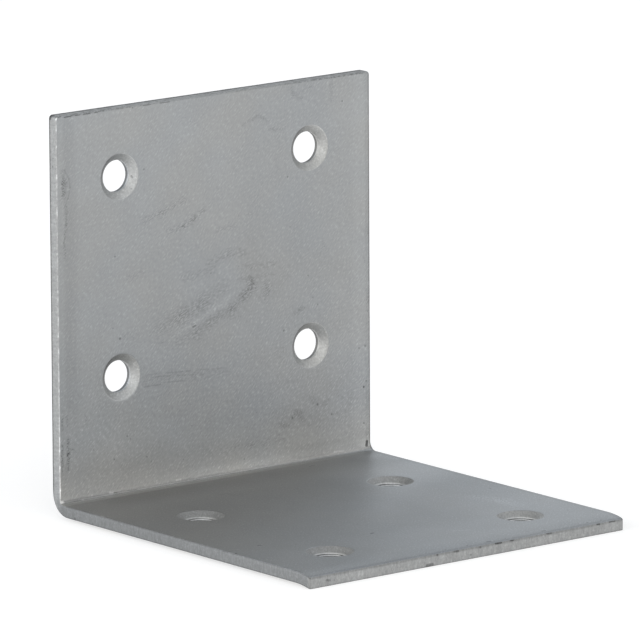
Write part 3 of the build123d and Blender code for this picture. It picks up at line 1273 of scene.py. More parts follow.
# Painted light and shade on the standing leg's inner face, with dark dots on its top arris
WALL_LAYERS = (
    Layer(0.0, (
        # Painted light: the leg as a whole, lighter towards the top
        (Fade(ALONG, 30.0, 52.0, 0.93, 0.97),),
        # Painted light: the light that the lying leg throws on it, and a lighter narrow strip
        # right above the bend
        (Fade(ALONG, 1.5, 12.0, 0.24, 0.0, shift=-0.3), Fade(ACROSS, 4.0, 22.0, 1.0, 0.55)),
        (Fade(ALONG, 1.0, 4.8, 1.0, 0.0), Fade(ACROSS, 4.0, 20.0, 0.34, 0.02)),
        # Painted light and shade: the left half lighter, its side darker and its foot lighter
        (Fade(ACROSS, -22.0, -2.0, 0.09, 0.0), Fade(ALONG, 16.0, 44.0, 1.0, 0.2)),
        (Fade(ACROSS, -29.1, -28.3, 0.0, -0.065), Fade(ACROSS, -27.6, -25.6, 1.0, 0.0),
         Fade(ALONG, 8.0, 14.0)),
        (Fade(ACROSS, -26.0, -12.0, 0.11, 0.0), Fade(ALONG, 5.0, 12.0, 1.0, 0.0)),
        # Painted shade: the right half's foot, the band above it and the right of the middle
        (Fade(ACROSS, 21.0, 28.0, 0.0, -0.12), Fade(ALONG, 0.8, 1.4),
         Fade(ALONG, 2.2, 4.5, 1.0, 0.0)),
        (Fade(ACROSS, 8.0, 24.0, 0.0, -0.06), Fade(ALONG, 3.0, 6.5),
         Fade(ALONG, 11.0, 17.0, 1.0, 0.0)),
        (Fade(ACROSS, 0.0, 9.0, 0.0, -0.03), Fade(ACROSS, 18.0, 26.0, 1.0, 0.0)),
    )),
    Layer(0.0, (
        RIGHT_BORDER,
        # A painted light strip beside the right border
        (Fade(ACROSS, 25.8, 27.6, 0.0, 0.045),),
        # Painted highlights as bumps along the left arris, and painted shade on it at the fold
        (LEFT_ARRIS, Fade(BUMPS, 0.42, 0.7, -0.12, 0.6), Fade(UP, 2.6, 3.6)),
        (LEFT_ARRIS, Fade(UP, 2.6, 3.6, -0.45, 0.0)),
    )),
    Layer(1.0, (
        # Painted shade along the top arris: dark dots, and an even darkening
        (Fade(UP, 60.96, 61.1), Fade(DOTS, 0.42, 0.6, 0.0, -0.35),
         Fade(SIDE, 8.0, 24.0, 0.25, 1.0)),
        (Fade(UP, 60.96, 61.1, 0.0, -0.12),),
    )),
    CREASE_LAYER,
)

# What the painted light and shade beside the fold lose towards the two ends of the fold
FOLD_ENDS = (
    Fade(ACROSS, 6.0, 25.0, 1.0, 0.5), Fade(ACROSS, -28.0, -20.0, 0.5, 1.0),
    Fade(ACROSS, 24.0, 28.0, 1.0, 0.5),
)

# Painted light and shade on the lying leg's inner face
BASE_LAYERS = (
    # Painted shade: the leg grows darker towards the fold
    Layer(0.0, ((Fade(ALONG, -54.0, -6.0, 1.06, 0.86),),)),
    # Painted shade on the free end, where it bends down
    Layer(0.0, ((Fade(OUT, -30.75, -29.9, 0.68, 1.0),),)),
    Layer(0.0, (
        # Painted light: the leg as a whole, and the slanting band of light on it
        (Fade(SLANT, -32.0, -3.0, 1.07, 0.88),),
        (Fade(SLANT, -45.0, -34.0, -0.13, 0.0),),
        (Fade(SLANT, -66.0, -50.0, 0.07, 0.0),),
        # Painted shade in a strip before the fold, with a painted lighter line at its end
        (Fade(ALONG, -10.0, -2.8, 0.0, -0.19), *FOLD_ENDS),
        (Fade(ALONG, -2.2, -1.0, 0.0, 0.06), *FOLD_ENDS),
        # Painted light and shade on the right side, and a painted glint at its end
        (Fade(ACROSS, 10.0, 24.0), Fade(ALONG, -28.0, -16.0, 0.0, 0.15),
         Fade(ALONG, -14.0, -4.0, 1.0, -0.6)),
        (Fade(ACROSS, 23.0, 28.5, 0.0, 0.22), Fade(ALONG, -9.5, -4.5),
         Fade(ALONG, -4.0, -1.0, 1.0, 0.0)),
        # Painted light on the free end, and painted shade on the middle of the leg
        (Fade(ALONG, -60.0, -54.0, 0.05, 0.0),),
        (Fade(ACROSS, -26.0, -14.0, -0.03, -0.06), Fade(ACROSS, 8.0, 18.0, 1.0, -0.2),
         Fade(ALONG, -50.0, -43.0)),
    )),
    Layer(0.0, (RIGHT_BORDER,)),
    CREASE_LAYER,
)

# The two sheared sides of the strip, without the standing leg's own
LOW_SIDES = (Fade(SIDE, 29.5, 29.9), Fade(OUT, 28.4, 30.8, 1.0, 0.0))

# The part of a cut face by the outer face, where the shear tore it
TORN_FOOT = Fade(TORN, 0.16, 0.34, 0.8, 1.0)

# The torn foot of the cut faces, and painted light and shade on them
CUT_LAYERS = (
    Layer(0.0, (
        (TORN_FOOT,),
        (TORN_FOOT, Fade(TORN, 0.2, 0.55, -0.62, 0.0), Fade(UP, 3.0, 5.0)),
        # Painted highlights as light bumps along the left arris
        (Fade(ACROSS, -29.6, -29.2, 1.0, 0.0), Fade(TORN, 1.66, 1.78),
         Fade(BUMPS, 0.42, 0.7, -0.1, 0.6), Fade(UP, 3.0, 5.0, 0.2, 1.0)),
    )),
    Layer(1.0, (
        # Painted shade on the lying leg's sides low down, and on their inner arris
        (Fade(UP, 2.4, 3.8, 1.0, 0.0), Fade(OUT, -28.0, 6.0, -0.29, -0.35), *LOW_SIDES),
        (Fade(TORN, 1.6, 1.75, 0.0, -0.12), *LOW_SIDES),
        # Painted shade on the free end, darkest along its upper arris
        (Fade(OUT, -30.6, -30.3, 1.0, 0.0), Fade(TORN, 1.35, 1.7, -0.03, -0.27)),
        # The top edge: dark specks, and painted shade on its half by the outer face
        (Fade(UP, 60.9, 61.2), Fade(SPECKS, 0.42, 0.62, 0.0, -0.2)),
        (Fade(UP, 60.9, 61.2), Fade(DEPTH, 0.5, 1.2, -0.47, 0.05)),
    )),
)

# Painted light: what the lying leg's tone gains towards +X, for each millimetre
BASE_TILT = Fade(ALONG, -54.0, -40.0, 0.0018, 0.0035)

# The grain is stronger low on the standing leg
WALL_GRAIN = Layer(0.0, ((Fade(ALONG, 6.0, 36.0, 1.4, 1.0),),))

# How yellowish the coat is: most of all near the fold, and least at the lying leg's end.
# On the two legs that change is a painted tint: warm light thrown between the legs near the fold,
# and cooler reflected light farther out.
WALL_WARMTH = Layer(0.3, ((Fade(ALONG, 1.5, 10.0, 0.42, 0.0),),))
BASE_WARMTH = Layer(0.0, ((Fade(Guide.WARM_SLANT, -38.0, -2.0, 0.0, 0.8),),))
CUT_WARMTH = Layer(0.0, (
    (Fade(OUT, -30.6, -30.2, 0.3, 0.0),),
    (Fade(UP, 1.0, 12.0, 0.3, 0.5),),
))
CONE_WARMTH = Layer(0.5, ())

# A painted highlight and a painted shade: a bright and a dark ring low in the bores of the
# lying leg, which the camera sees into
PAINTED_BORE_RINGS = Layer(0.0, (
    (Fade(DEPTH, 0.55, 0.58), Fade(DEPTH, 0.62, 0.65, 1.3, 0.0), Fade(UP, 3.0, 4.0, 1.0, 0.0)),
    (Fade(DEPTH, 0.63, 0.68), Fade(DEPTH, 0.74, 0.79, -0.85, 0.0), Fade(UP, 3.0, 4.0, 1.0, 0.0)),
))


@dataclass(frozen=True)
class Coating:
    """The colours of the zinc coat, which every finish starts from.

    Attributes:
        cool: the colour where the coat is bluish.
        warm: the colour where it is yellowish.
    """

    cool: tuple[float, float, float] = (0.371, 0.389, 0.405)
    warm: tuple[float, float, float] = (0.396, 0.391, 0.376)


@dataclass
class CoatEffects:
    """The effects that the finishes share, each built once as a node group.

    Waves are counted in each millimetre, and strengths are shares of the tone.

    Attributes:
        fine_waves: the waves of the fine grain, along its lay, across it and through the coat.
        middle_waves: the waves of the coarser grain.
        cloud_waves: the waves of the faint clouds.
        drift_waves: the waves of the slow change of colour.
        fine_strength: how strong the fine grain is.
        middle_strength: how strong the coarser grain is.
        cloud_strength: how strong the clouds are.
        bright_strength: how much lighter the brightest grains are.
        bright_offset: what that would add on average, below nought.
        dot_strength: the same for the scattered dots, below nought as they are darker.
        grain: the group of the coat's grain.
        stroke: the group that masks a stretch of a mark.
        depth: the group that finds the depth in the sheet.
    """

    fine_waves: tuple[float, float, float] = (1.7, 4.4, 3.0)
    middle_waves: float = 1.3
    cloud_waves: float = 0.22
    drift_waves: float = 0.09
    fine_strength: float = 0.30
    middle_strength: float = 0.08
    cloud_strength: float = 0.10
    bright_strength: float = 0.13
    bright_offset: float = -0.015
    dot_strength: float = -0.10
    grain: bpy.types.NodeTree = field(init=False)
    stroke: bpy.types.NodeTree = field(init=False)
    depth: bpy.types.NodeTree = field(init=False)

    def __post_init__(self) -> None:
        """Builds the groups."""
        self.grain = self.zinc_grain()
        self.stroke = self.stroke_mask()
        self.depth = self.sheet_depth()

    def zinc_grain(self) -> bpy.types.NodeTree:
        """The fine slanting grain, faint clouds and scattered dark dots of the coat.

        Returns:
            The group. Tone is about 1 on average, and Height and Warmth about a half.
        """
        made = Effect(
            "zinc_grain",
            {"Point": "Vector", "Lay": "Float", "Strength": "Float"},
            ("Tone", "Height", "Warmth"),
        )
        sheet, point = made.sheet, made.inlet["Point"]
        laid = sheet.vector("MULTIPLY", sheet.turned(point, made.inlet["Lay"]), self.fine_waves)
        fine = sheet.noise(laid, 1.0, detail=1.0)
        middle = sheet.noise(point, self.middle_waves)
        clouds = sheet.noise(point, self.cloud_waves, rough=0.55)
        bright = sheet.ramp(fine, 0.60, 0.74)
        uneven = sheet.math("MULTIPLY_ADD", bright, self.bright_strength, self.bright_offset)
        for layer, strength in ((fine, self.fine_strength), (middle, self.middle_strength),
                                (clouds, self.cloud_strength)):
            level = sheet.math("SUBTRACT", layer, 0.5)
            uneven = sheet.math("MULTIPLY_ADD", level, strength, uneven)
        dots = sheet.dots(point, apart=2.4, radius=0.12, share=0.2)
        uneven = sheet.math("MULTIPLY_ADD", dots, self.dot_strength, uneven)
        tone = sheet.math("MULTIPLY_ADD", uneven, made.inlet["Strength"], 1.0)
        sheet.feed(made.outlet["Tone"], tone)
        height = sheet.math("MULTIPLY_ADD", middle, 0.4, sheet.math("MULTIPLY", fine, 0.6))
        sheet.feed(made.outlet["Height"], height)
        drift = sheet.noise(point, self.drift_waves, detail=1.0)
        sheet.feed(made.outlet["Warmth"], sheet.ramp(drift, 0.25, 0.75))
        return made.tree

    def stroke_mask(self) -> bpy.types.NodeTree:
        """How far inside a stroke a point lies.

        Returns:
            The group, whose Mask is 1 in the stroke's core and fades to 0 at its edge.
        """
        made = Effect(
            "stroke_mask",
            {"Point": "Vector", "Start": "Vector", "Run": "Vector", "Per Square": "Float",
             "Half Width": "Float", "Core": "Float"},
            ("Mask",),
        )
        sheet, inlet = made.sheet, made.inlet
        offset = sheet.vector("SUBTRACT", inlet["Point"], inlet["Start"])
        along = sheet.vector("DOT_PRODUCT", offset, inlet["Run"])
        share = sheet.math("MAXIMUM", sheet.math("MULTIPLY", along, inlet["Per Square"]), 0.0)
        foot = sheet.scaled(inlet["Run"], sheet.math("MINIMUM", share, 1.0))
        away = sheet.vector("DISTANCE", offset, foot)
        mask = sheet.ramp(away, inlet["Core"], inlet["Half Width"], 1.0, 0.0)
        sheet.feed(made.outlet["Mask"], mask)
        return made.tree

    def sheet_depth(self) -> bpy.types.NodeTree:
        """How deep a point of a cut face lies below the strip's outer face.

        Returns:
            The group, whose Depth is in millimetres.
        """
        made = Effect("sheet_depth", {"Point": "Vector"}, ("Depth",))
        sheet, sizes = made.sheet, StripSizes()
        back, underside = (place / MM for place in outer_faces())
        bend = sizes.outer_bend / MM
        _, across, up = sheet.parts(made.inlet["Point"])
        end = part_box("bracket")[0].y
        past = sheet.math("SUBTRACT", (end + sizes.droop_length) / MM, across)
        past = sheet.math("MAXIMUM", past, 0.0)
        sag = sizes.droop / sizes.droop_length**2 * MM
        up = sheet.math("MULTIPLY_ADD", sheet.product(past, past), sag, up)
        out = sheet.math("MAXIMUM", sheet.math("SUBTRACT", across, back - bend), 0.0)
        down = sheet.math("MAXIMUM", sheet.math("SUBTRACT", underside + bend, up), 0.0)
        away = sheet.math("SQRT", sheet.total(sheet.product(down, down), sheet.product(out, out)))
        sheet.feed(made.outlet["Depth"], sheet.math("SUBTRACT", bend, away))
        return made.tree


@dataclass
class Surface:
    """What a finish reads about the place that it shades.

    Attributes:
        sheet: the material's node sheet.
        effects: the shared node groups.
        point: the place in space, in millimetres.
        flat: its place on the unfolded strip: X, and the sum of Y and Z.
        known: the guides that have been worked out.
        rag_waves: the waves in each millimetre that make a mark's outline ragged.
        rag_reach: how far they move it, in millimetres.
        rub_lay: the way that the streaks of a rubbed patch run, in degrees from X.
        rub_waves: the waves of those streaks, along them, across them and into the face.
    """

    sheet: NodeSheet
    effects: CoatEffects
    point: bpy.types.NodeSocket = field(init=False)
    flat: bpy.types.NodeSocket = field(init=False)
    known: dict[Guide, bpy.types.NodeSocket] = field(default_factory=dict)
    rag_waves: float = 2.4
    rag_reach: float = 1.1
    rub_lay: float = 24.0
    rub_waves: tuple[float, float, float] = (1.5, 6.0, 6.0)

    def __post_init__(self) -> None:
        """Reads the place from the piece's own coordinates."""
        sheet = self.sheet
        place = sheet.node("ShaderNodeTexCoord").outputs["Object"]
        self.point = sheet.scaled(place, 1 / MM)
        across, out, up = sheet.parts(self.point)
        self.known.update({ACROSS: across, OUT: out, UP: up})
        self.flat = sheet.joined(across, sheet.total(out, up), 0.0)

    def on(self, guide: Guide) -> bpy.types.NodeSocket:
        """Where the place lies on a guide, which is worked out once.

        Args:
            guide: the guide.

        Returns:
            Its number.
        """
        if guide not in self.known:
            self.known[guide] = self.measured(guide)
        return self.known[guide]

    def measured(self, guide: Guide) -> bpy.types.NodeSocket:
        """Works a guide out.

        Args:
            guide: any guide but the three axes.

        Returns:
            Its number.
        """
        sheet, across = self.sheet, self.on(ACROSS)
        match guide:
            case Guide.SIDE:
                return sheet.math("ABSOLUTE", across)
            case Guide.EDGE | Guide.LIP:
                return self.wavering(across, WAVERS[guide], self.flat)
            case Guide.ALONG:
                corner = sum(outer_faces()) / MM
                return sheet.math("SUBTRACT", sheet.total(self.on(OUT), self.on(UP)), corner)
            case Guide.SLANT | Guide.WARM_SLANT:
                return sheet.math("MULTIPLY_ADD", across, SLOPES[guide], self.on(ALONG))
            case Guide.CREASE:
                middle = sheet.math("SUBTRACT", self.on(ALONG), WAVERS[guide].reach / 2)
                return self.wavering(middle, WAVERS[guide], sheet.joined(across, 0.0, 0.0))
            case Guide.DEPTH:
                return sheet.group(self.effects.depth, Point=self.point).outputs["Depth"]
            case Guide.TORN:
                return self.wavering(self.on(DEPTH), WAVERS[guide], self.point)
            case _:
                return self.pattern(self.flat if guide is DOTS else self.point, PATTERNS[guide])

    def pattern(self, place: object, pattern: Pattern) -> bpy.types.NodeSocket:
        """A random pattern, read at some place in millimetres."""
        return self.sheet.noise(place, pattern.waves, pattern.detail, pattern.rough)

    def wavering(
        self, number: bpy.types.NodeSocket, waver: Waver, place: object
    ) -> bpy.types.NodeSocket:
        """A number with a random part added.

        Args:
            number: the number.
            waver: the random part.
            place: where that is read, in millimetres.

        Returns:
            The sum.
        """
        pattern = self.pattern(place, waver.pattern)
        return self.sheet.math("MULTIPLY_ADD", pattern, waver.reach, number)

    def uneven(self, place: object, waver: Waver) -> bpy.types.NodeSocket:
        """A random factor about 1.

        Args:
            place: where it is read, in millimetres.
            waver: its pattern, and how far it goes below and above 1.

        Returns:
            The factor.
        """
        pattern = self.pattern(place, waver.pattern)
        return self.sheet.ramp(pattern, 0.3, 0.7, 1 - waver.reach, 1 + waver.reach)

    def follow(self, fade: Fade) -> bpy.types.NodeSocket:
        """A fade's number at the place.

        Args:
            fade: the fade.

        Returns:
            Its number.
        """
        high = fade.high
        if fade.shift:
            high = self.sheet.math("MULTIPLY_ADD", self.on(ACROSS), fade.shift, fade.high)
        return self.sheet.ramp(self.on(fade.guide), fade.low, high, fade.start, fade.stop)

    def layer(self, layer: Layer) -> object:
        """A layer's number at the place."""
        changes = (self.sheet.product(*map(self.follow, change)) for change in layer.changes)
        return self.sheet.total(*changes, layer.plain)

    def marked(
        self, marks: tuple[Mark, ...], locate: Callable[[tuple], Vector], place: object
    ) -> bpy.types.NodeSocket:
        """The share of the light that some marks take.

        Args:
            marks: the marks.
            locate: turns one of a mark's points into a vector in millimetres.
            place: where they are read.

        Returns:
            The share.
        """
        sheet = self.sheet
        shift = sheet.node("ShaderNodeTexNoise")
        sheet.feed(shift.inputs["Vector"], place)
        shift.inputs["Scale"].default_value = self.rag_waves
        shift.inputs["Detail"].default_value = 3.0
        offset = sheet.vector("SUBTRACT", shift.outputs["Color"], (0.5, 0.5, 0.5))
        ragged = sheet.vector("MULTIPLY_ADD", offset, (self.rag_reach,) * 3, place)
        laid = sheet.vector(
            "MULTIPLY", sheet.turned(place, math.radians(-self.rub_lay)), self.rub_waves
        )
        streaks = sheet.ramp(sheet.noise(laid, 1.0, 1.0, 0.6), 0.32, 0.68, -1.3, 3.3)
        grains = sheet.ramp(sheet.noise(place, 4.6, 1.0, 0.6), 0.36, 0.68, 0.2, 1.8)
        losses = {"streaked": 0.0, "grainy": 0.0, "crisp": 0.0}
        for mark in marks:
            read = place if mark.kind.crisp else ragged
            grained = "grainy" if mark.kind is MarkKind.STAIN else "streaked"
            texture = "crisp" if mark.kind.crisp else grained
            for start, stop in zip(mark.points, mark.points[1:] or mark.points):
                mask = self.stroke(read, locate(start), locate(stop), mark)
                losses[texture] = sheet.math(
                    "MULTIPLY_ADD", mask, mark.kind.loss * mark.share, losses[texture]
                )
        lost = sheet.math("MULTIPLY_ADD", losses["streaked"], streaks, losses["crisp"])
        return sheet.math("MULTIPLY_ADD", losses["grainy"], grains, lost)

    def stroke(
        self, place: object, start: Vector, stop: Vector, mark: Mark
    ) -> bpy.types.NodeSocket:
        """A mask of one straight stretch of a mark.

        Args:
            place: where it is read.
            start: where the stretch starts, in millimetres.
            stop: where it ends, which is its start in a mark of one point.
            mark: the mark.

        Returns:
            The mask, 1 in the stretch's core and 0 outside it.
        """
        sheet, run, half = self.sheet, stop - start, mark.width / 2
        core = half * mark.kind.core
        if not run.length_squared:
            return sheet.ramp(sheet.vector("DISTANCE", place, start), core, half, 1.0, 0.0)
        return sheet.group(
            self.effects.stroke, Point=place, Start=start, Run=run,
            Per_Square=1 / run.length_squared, Half_Width=half, Core=core,
        ).outputs["Mask"]


@dataclass(frozen=True)
class Finish:
    """One finish of the zinc coat, as a material.

    Attributes:
        name: the material's name.
        lay: the way that the grain runs, in degrees from X.
        grain: how strong the grain is.
        tone: how light the finish is next to the plain coat.
        relief: the depth of the grain, in metres.
        roughness: how matt the finish is.
        wear_gloss: how much matter it is for each share of its light that is lost.
        most_gain: the most light gained that still makes it glossier.
        grain_gloss: how much matter its highest grains are than its lowest.
        marks: the marks on it.
        layers: the slow changes of its tone, mostly painted light and shade.
        grain_layers: the slow changes of its grain's strength.
        warmth: how yellowish the coat is, from 0 to 1, where it doesn't drift.
        drift: how much its slow drift of colour adds to that.
        coat: the colours of the coat.
    """

    name: str
    lay: float = 45.0
    grain: float = 1.0
    tone: float = 1.0
    relief: float = 0.012 * MM
    roughness: float = 0.45
    wear_gloss: float = 0.2
    most_gain: float = 0.2
    grain_gloss: float = 0.06
    marks: tuple[Mark, ...] = ()
    layers: tuple[Layer, ...] = ()
    grain_layers: tuple[Layer, ...] = ()
    warmth: Layer = Layer(0.0, ())
    drift: float = 1.0
    coat: Coating = Coating()

    def material(self, effects: CoatEffects) -> bpy.types.Material:
        """Builds the material.

        Args:
            effects: the shared node groups.

        Returns:
            The material.
        """
        made = bpy.data.materials.new(self.name)
        made.use_nodes = True
        sheet = NodeSheet(made.node_tree)
        shader = made.node_tree.nodes["Principled BSDF"]
        shader.inputs["Metallic"].default_value = 1.0
        surface = Surface(sheet, effects)
        coat = sheet.group(
            effects.grain, Point=self.place(surface), Lay=math.radians(-self.lay),
            Strength=sheet.product(self.grain, *map(surface.layer, self.grain_layers)),
        ).outputs
        wear_and_painted_light = self.wear_and_painted_light(surface)
        mixed = sheet.node("ShaderNodeMix", data_type="RGBA")
        warmth = sheet.math(
            "MULTIPLY_ADD", coat["Warmth"], self.drift, surface.layer(self.warmth)
        )
        sheet.feed(mixed.inputs["Factor"], warmth)
        sheet.feed(mixed.inputs["A"], (*self.coat.cool, 1))
        sheet.feed(mixed.inputs["B"], (*self.coat.warm, 1))
        colour = sheet.scaled(mixed.outputs["Result"], sheet.product(coat["Tone"], wear_and_painted_light))
        sheet.feed(shader.inputs["Base Color"], colour)
        sheet.feed(shader.inputs["Roughness"], self.gloss(sheet, wear_and_painted_light, coat["Height"]))
        bump = sheet.node("ShaderNodeBump")
        bump.inputs["Distance"].default_value = self.relief
        sheet.feed(bump.inputs["Height"], coat["Height"])
        sheet.feed(shader.inputs["Normal"], bump.outputs["Normal"])
        return made

    def gloss(
        self, sheet: NodeSheet, wear_and_painted_light: bpy.types.NodeSocket, height: bpy.types.NodeSocket
    ) -> bpy.types.NodeSocket:
        """How matt the coat is: more so where it is dark, and on the high grains.

        Args:
            sheet: the material's node sheet.
            wear_and_painted_light: the light that the coat keeps, with its wear, marks and
                painted light.
            height: the grain's height, about a half.

        Returns:
            The roughness.
        """
        lost = sheet.math("MAXIMUM", sheet.math("SUBTRACT", 1.0, wear_and_painted_light), -self.most_gain)
        plain = self.roughness - self.grain_gloss / 2
        rough = sheet.math("MULTIPLY_ADD", lost, self.wear_gloss, plain)
        return sheet.math("MULTIPLY_ADD", height, self.grain_gloss, rough)

    def place(self, surface: Surface) -> bpy.types.NodeSocket:
        """Where the grain and the marks are read."""
        return surface.point

    def wear_and_painted_light(self, surface: Surface) -> bpy.types.NodeSocket:
        """How much light the coat keeps where worn or marked, with its painted light and shade.

        Args:
            surface: the place that is shaded.

        Returns:
            The share, about 1.
        """
        sheet = surface.sheet
        lost = surface.marked(self.marks, self.locate, self.place(surface))
        tone = sheet.math("SUBTRACT", self.ground(surface), lost)
        return sheet.product(tone, *map(surface.layer, self.layers))

    def ground(self, surface: Surface) -> object:
        """The tone under the marks."""
        return self.tone

    def locate(self, place: tuple[float, ...]) -> Vector:
        """A mark's point as the finish reads it, in millimetres."""
        return Vector(place)


@dataclass(frozen=True)
class InnerSkin(Finish):
    """The inner face of one leg, with the marks of handling and painted light and shade.

    Attributes:
        leg: which leg it is.
        tilt: the painted light that its tone gains towards +X, for each millimetre.
    """

    leg: Leg = Leg.WALL
    tilt: Fade | None = None

    def place(self, surface: Surface) -> bpy.types.NodeSocket:
        """Where the grain and the marks are read: on the unfolded strip."""
        return surface.flat

    def locate(self, place: tuple[float, ...]) -> Vector:
        """A mark's point on the unfolded strip.

        Args:
            place: along X, and away from the heel.

        Returns:
            The point in millimetres.
        """
        across, away = place
        from_corner = away - StripSizes().sheet / MM
        side = 1 if self.leg is Leg.WALL else -1
        return Vector((across, sum(outer_faces()) / MM + side * from_corner, 0))

    def wear_and_painted_light(self, surface: Surface) -> bpy.types.NodeSocket:
        """How much of its light the coat keeps on an inner face, with painted light and shade.

        Args:
            surface: the place that is shaded.

        Returns:
            The share, about 1.
        """
        tone = super().wear_and_painted_light(surface)
        if self.tilt is None:
            return tone
        gain = surface.sheet.product(surface.on(ACROSS), surface.follow(self.tilt))
        return surface.sheet.product(tone, surface.sheet.total(gain, 1.0))


@dataclass(frozen=True)
class OuterSkin(Finish):
    """The outer face of both legs, rubbed dark along its arrises.

    Attributes:
        clouds: its faint clouds.
        rub: how the rubbed border wavers.
        rub_start: how far from the strip's middle the border starts, in millimetres.
        rub_stop: where it is as dark as it gets.
        rub_tone: the factor on the tone there.
    """

    clouds: Waver = Waver(Pattern(0.35, 2.0, 0.5), 0.05)
    rub: Waver = Waver(Pattern(0.9), 0.2)
    rub_start: float = 29.8
    rub_stop: float = 30.0
    rub_tone: float = 0.62

    def place(self, surface: Surface) -> bpy.types.NodeSocket:
        """Where the grain is read: on the unfolded strip."""
        return surface.flat

    def wear_and_painted_light(self, surface: Surface) -> bpy.types.NodeSocket:
        """How much of its light the coat keeps on the outer face.

        Args:
            surface: the place that is shaded.

        Returns:
            The share, about 1.
        """
        edge = surface.wavering(surface.on(SIDE), self.rub, surface.point)
        rubbed = surface.sheet.ramp(edge, self.rub_start, self.rub_stop, 1.0, self.rub_tone)
        return surface.sheet.product(self.tone, surface.uneven(surface.flat, self.clouds), rubbed)


@dataclass(frozen=True)
class CutFace(Finish):
    """The sheared edges of the strip: granular, streaked through the sheet, dark at the foot.

    Attributes:
        streaks: its streaks, read along the edge.
        streak_squeeze: what is left of the depth in that, so that the streaks are long.
        grit: its fine grain.
    """

    streaks: Waver = Waver(Pattern(2.4), 0.09)
    streak_squeeze: float = 0.3
    grit: Waver = Waver(Pattern(4.0), 0.05)

    def ground(self, surface: Surface) -> bpy.types.NodeSocket:
        """The tone under the marks, streaked the way that the shear went.

        Args:
            surface: the place that is shaded.

        Returns:
            The tone.
        """
        sheet = surface.sheet
        (back, underside), thickness = outer_faces(), StripSizes().sheet
        run = sheet.total(
            sheet.math("MINIMUM", surface.on(OUT), (back - thickness) / MM),
            sheet.math("MAXIMUM", surface.on(UP), (underside + thickness) / MM),
        )
        deep = sheet.product(surface.on(DEPTH), self.streak_squeeze)
        streaks = surface.uneven(sheet.joined(surface.on(ACROSS), run, deep), self.streaks)
        return sheet.product(self.tone, streaks, surface.uneven(surface.point, self.grit))


@dataclass(frozen=True)
class SinkCone(Finish):
    """The cone of a countersink, a little rougher than the rolled face.

    Round a cone of the standing leg the tone is a short sum of powers of the place, in
    millimetres from the hole's axis: painted light on the cone's right and painted shade on its
    left. On the lying leg it is a painted shade that changes from cone to cone, with a painted
    highlight at the foot.

    Attributes:
        plain: the tone of a standing cone on average.
        to_right: what it gains to the right.
        upper_right: what it gains to the upper right and the lower left.
        to_sides: what it gains to both sides, and loses above and below.
        threefold: what it gains in three directions that are even apart.
        lying_plain: the tone of a cone in the middle of the lying leg.
        lying_across: what that gains along X.
        lying_out: what it gains along Y.
        lying_foot: the painted highlight at the foot of those cones.
        standing_share: where a cone belongs to the standing leg.
        grit: its fine grain.
    """

    plain: float = 0.97
    to_right: float = 0.079
    upper_right: float = 0.029
    to_sides: float = -0.011
    threefold: float = -0.0025
    lying_plain: float = 0.78
    lying_across: float = 0.0037
    lying_out: float = -0.002
    lying_foot: Fade = Fade(UP, 1.36, 1.5, 1.5, 1.0)
    standing_share: Fade = Fade(UP, 4.0, 5.0)
    grit: Waver = Waver(Pattern(3.4), 0.07)

    def ground(self, surface: Surface) -> bpy.types.NodeSocket:
        """The tone under the marks, with painted light and shade that turn with the cone.

        Args:
            surface: the place that is shaded.

        Returns:
            The tone.
        """
        sheet, lying = surface.sheet, self.lying(surface)
        change = sheet.math("SUBTRACT", self.standing(surface), lying)
        turn = sheet.total(sheet.product(change, surface.follow(self.standing_share)), lying)
        return sheet.product(self.tone, surface.uneven(surface.point, self.grit), turn)

    def standing(self, surface: Surface) -> bpy.types.NodeSocket:
        """The painted light and shade round a cone of the standing leg, as a factor.

        Args:
            surface: the place that is shaded.

        Returns:
            The factor.
        """
        sheet, holes = surface.sheet, HolePattern(Leg.WALL)
        from_mid = sheet.math("SUBTRACT", surface.on(UP), holes.middle.z / MM)
        side, row = sheet.math("SIGN", surface.on(ACROSS)), sheet.math("SIGN", from_mid)
        right = sheet.math("MULTIPLY_ADD", side, -holes.across / 2 / MM, surface.on(ACROSS))
        up = sheet.math("MULTIPLY_ADD", row, -holes.along / 2 / MM, from_mid)
        slope = sheet.math("MULTIPLY_ADD", up, self.upper_right, self.to_right)
        squares = [sheet.product(number, number) for number in (right, up)]
        twice = sheet.math("SUBTRACT", *squares)
        thrice = sheet.product(sheet.math("MULTIPLY_ADD", squares[1], -3.0, squares[0]), right)
        tone = sheet.math("MULTIPLY_ADD", right, slope, self.plain)
        tone = sheet.math("MULTIPLY_ADD", twice, self.to_sides, tone)
        return sheet.math("MULTIPLY_ADD", thrice, self.threefold, tone)

    def lying(self, surface: Surface) -> bpy.types.NodeSocket:
        """The painted shade and foot highlight of the lying leg's cones, as a factor.

        Args:
            surface: the place that is shaded.

        Returns:
            The factor.
        """
        sheet = surface.sheet
        tone = sheet.math("MULTIPLY_ADD", surface.on(ACROSS), self.lying_across, self.lying_plain)
        tone = sheet.math("MULTIPLY_ADD", surface.on(OUT), self.lying_out, tone)
        return sheet.product(tone, surface.follow(self.lying_foot))


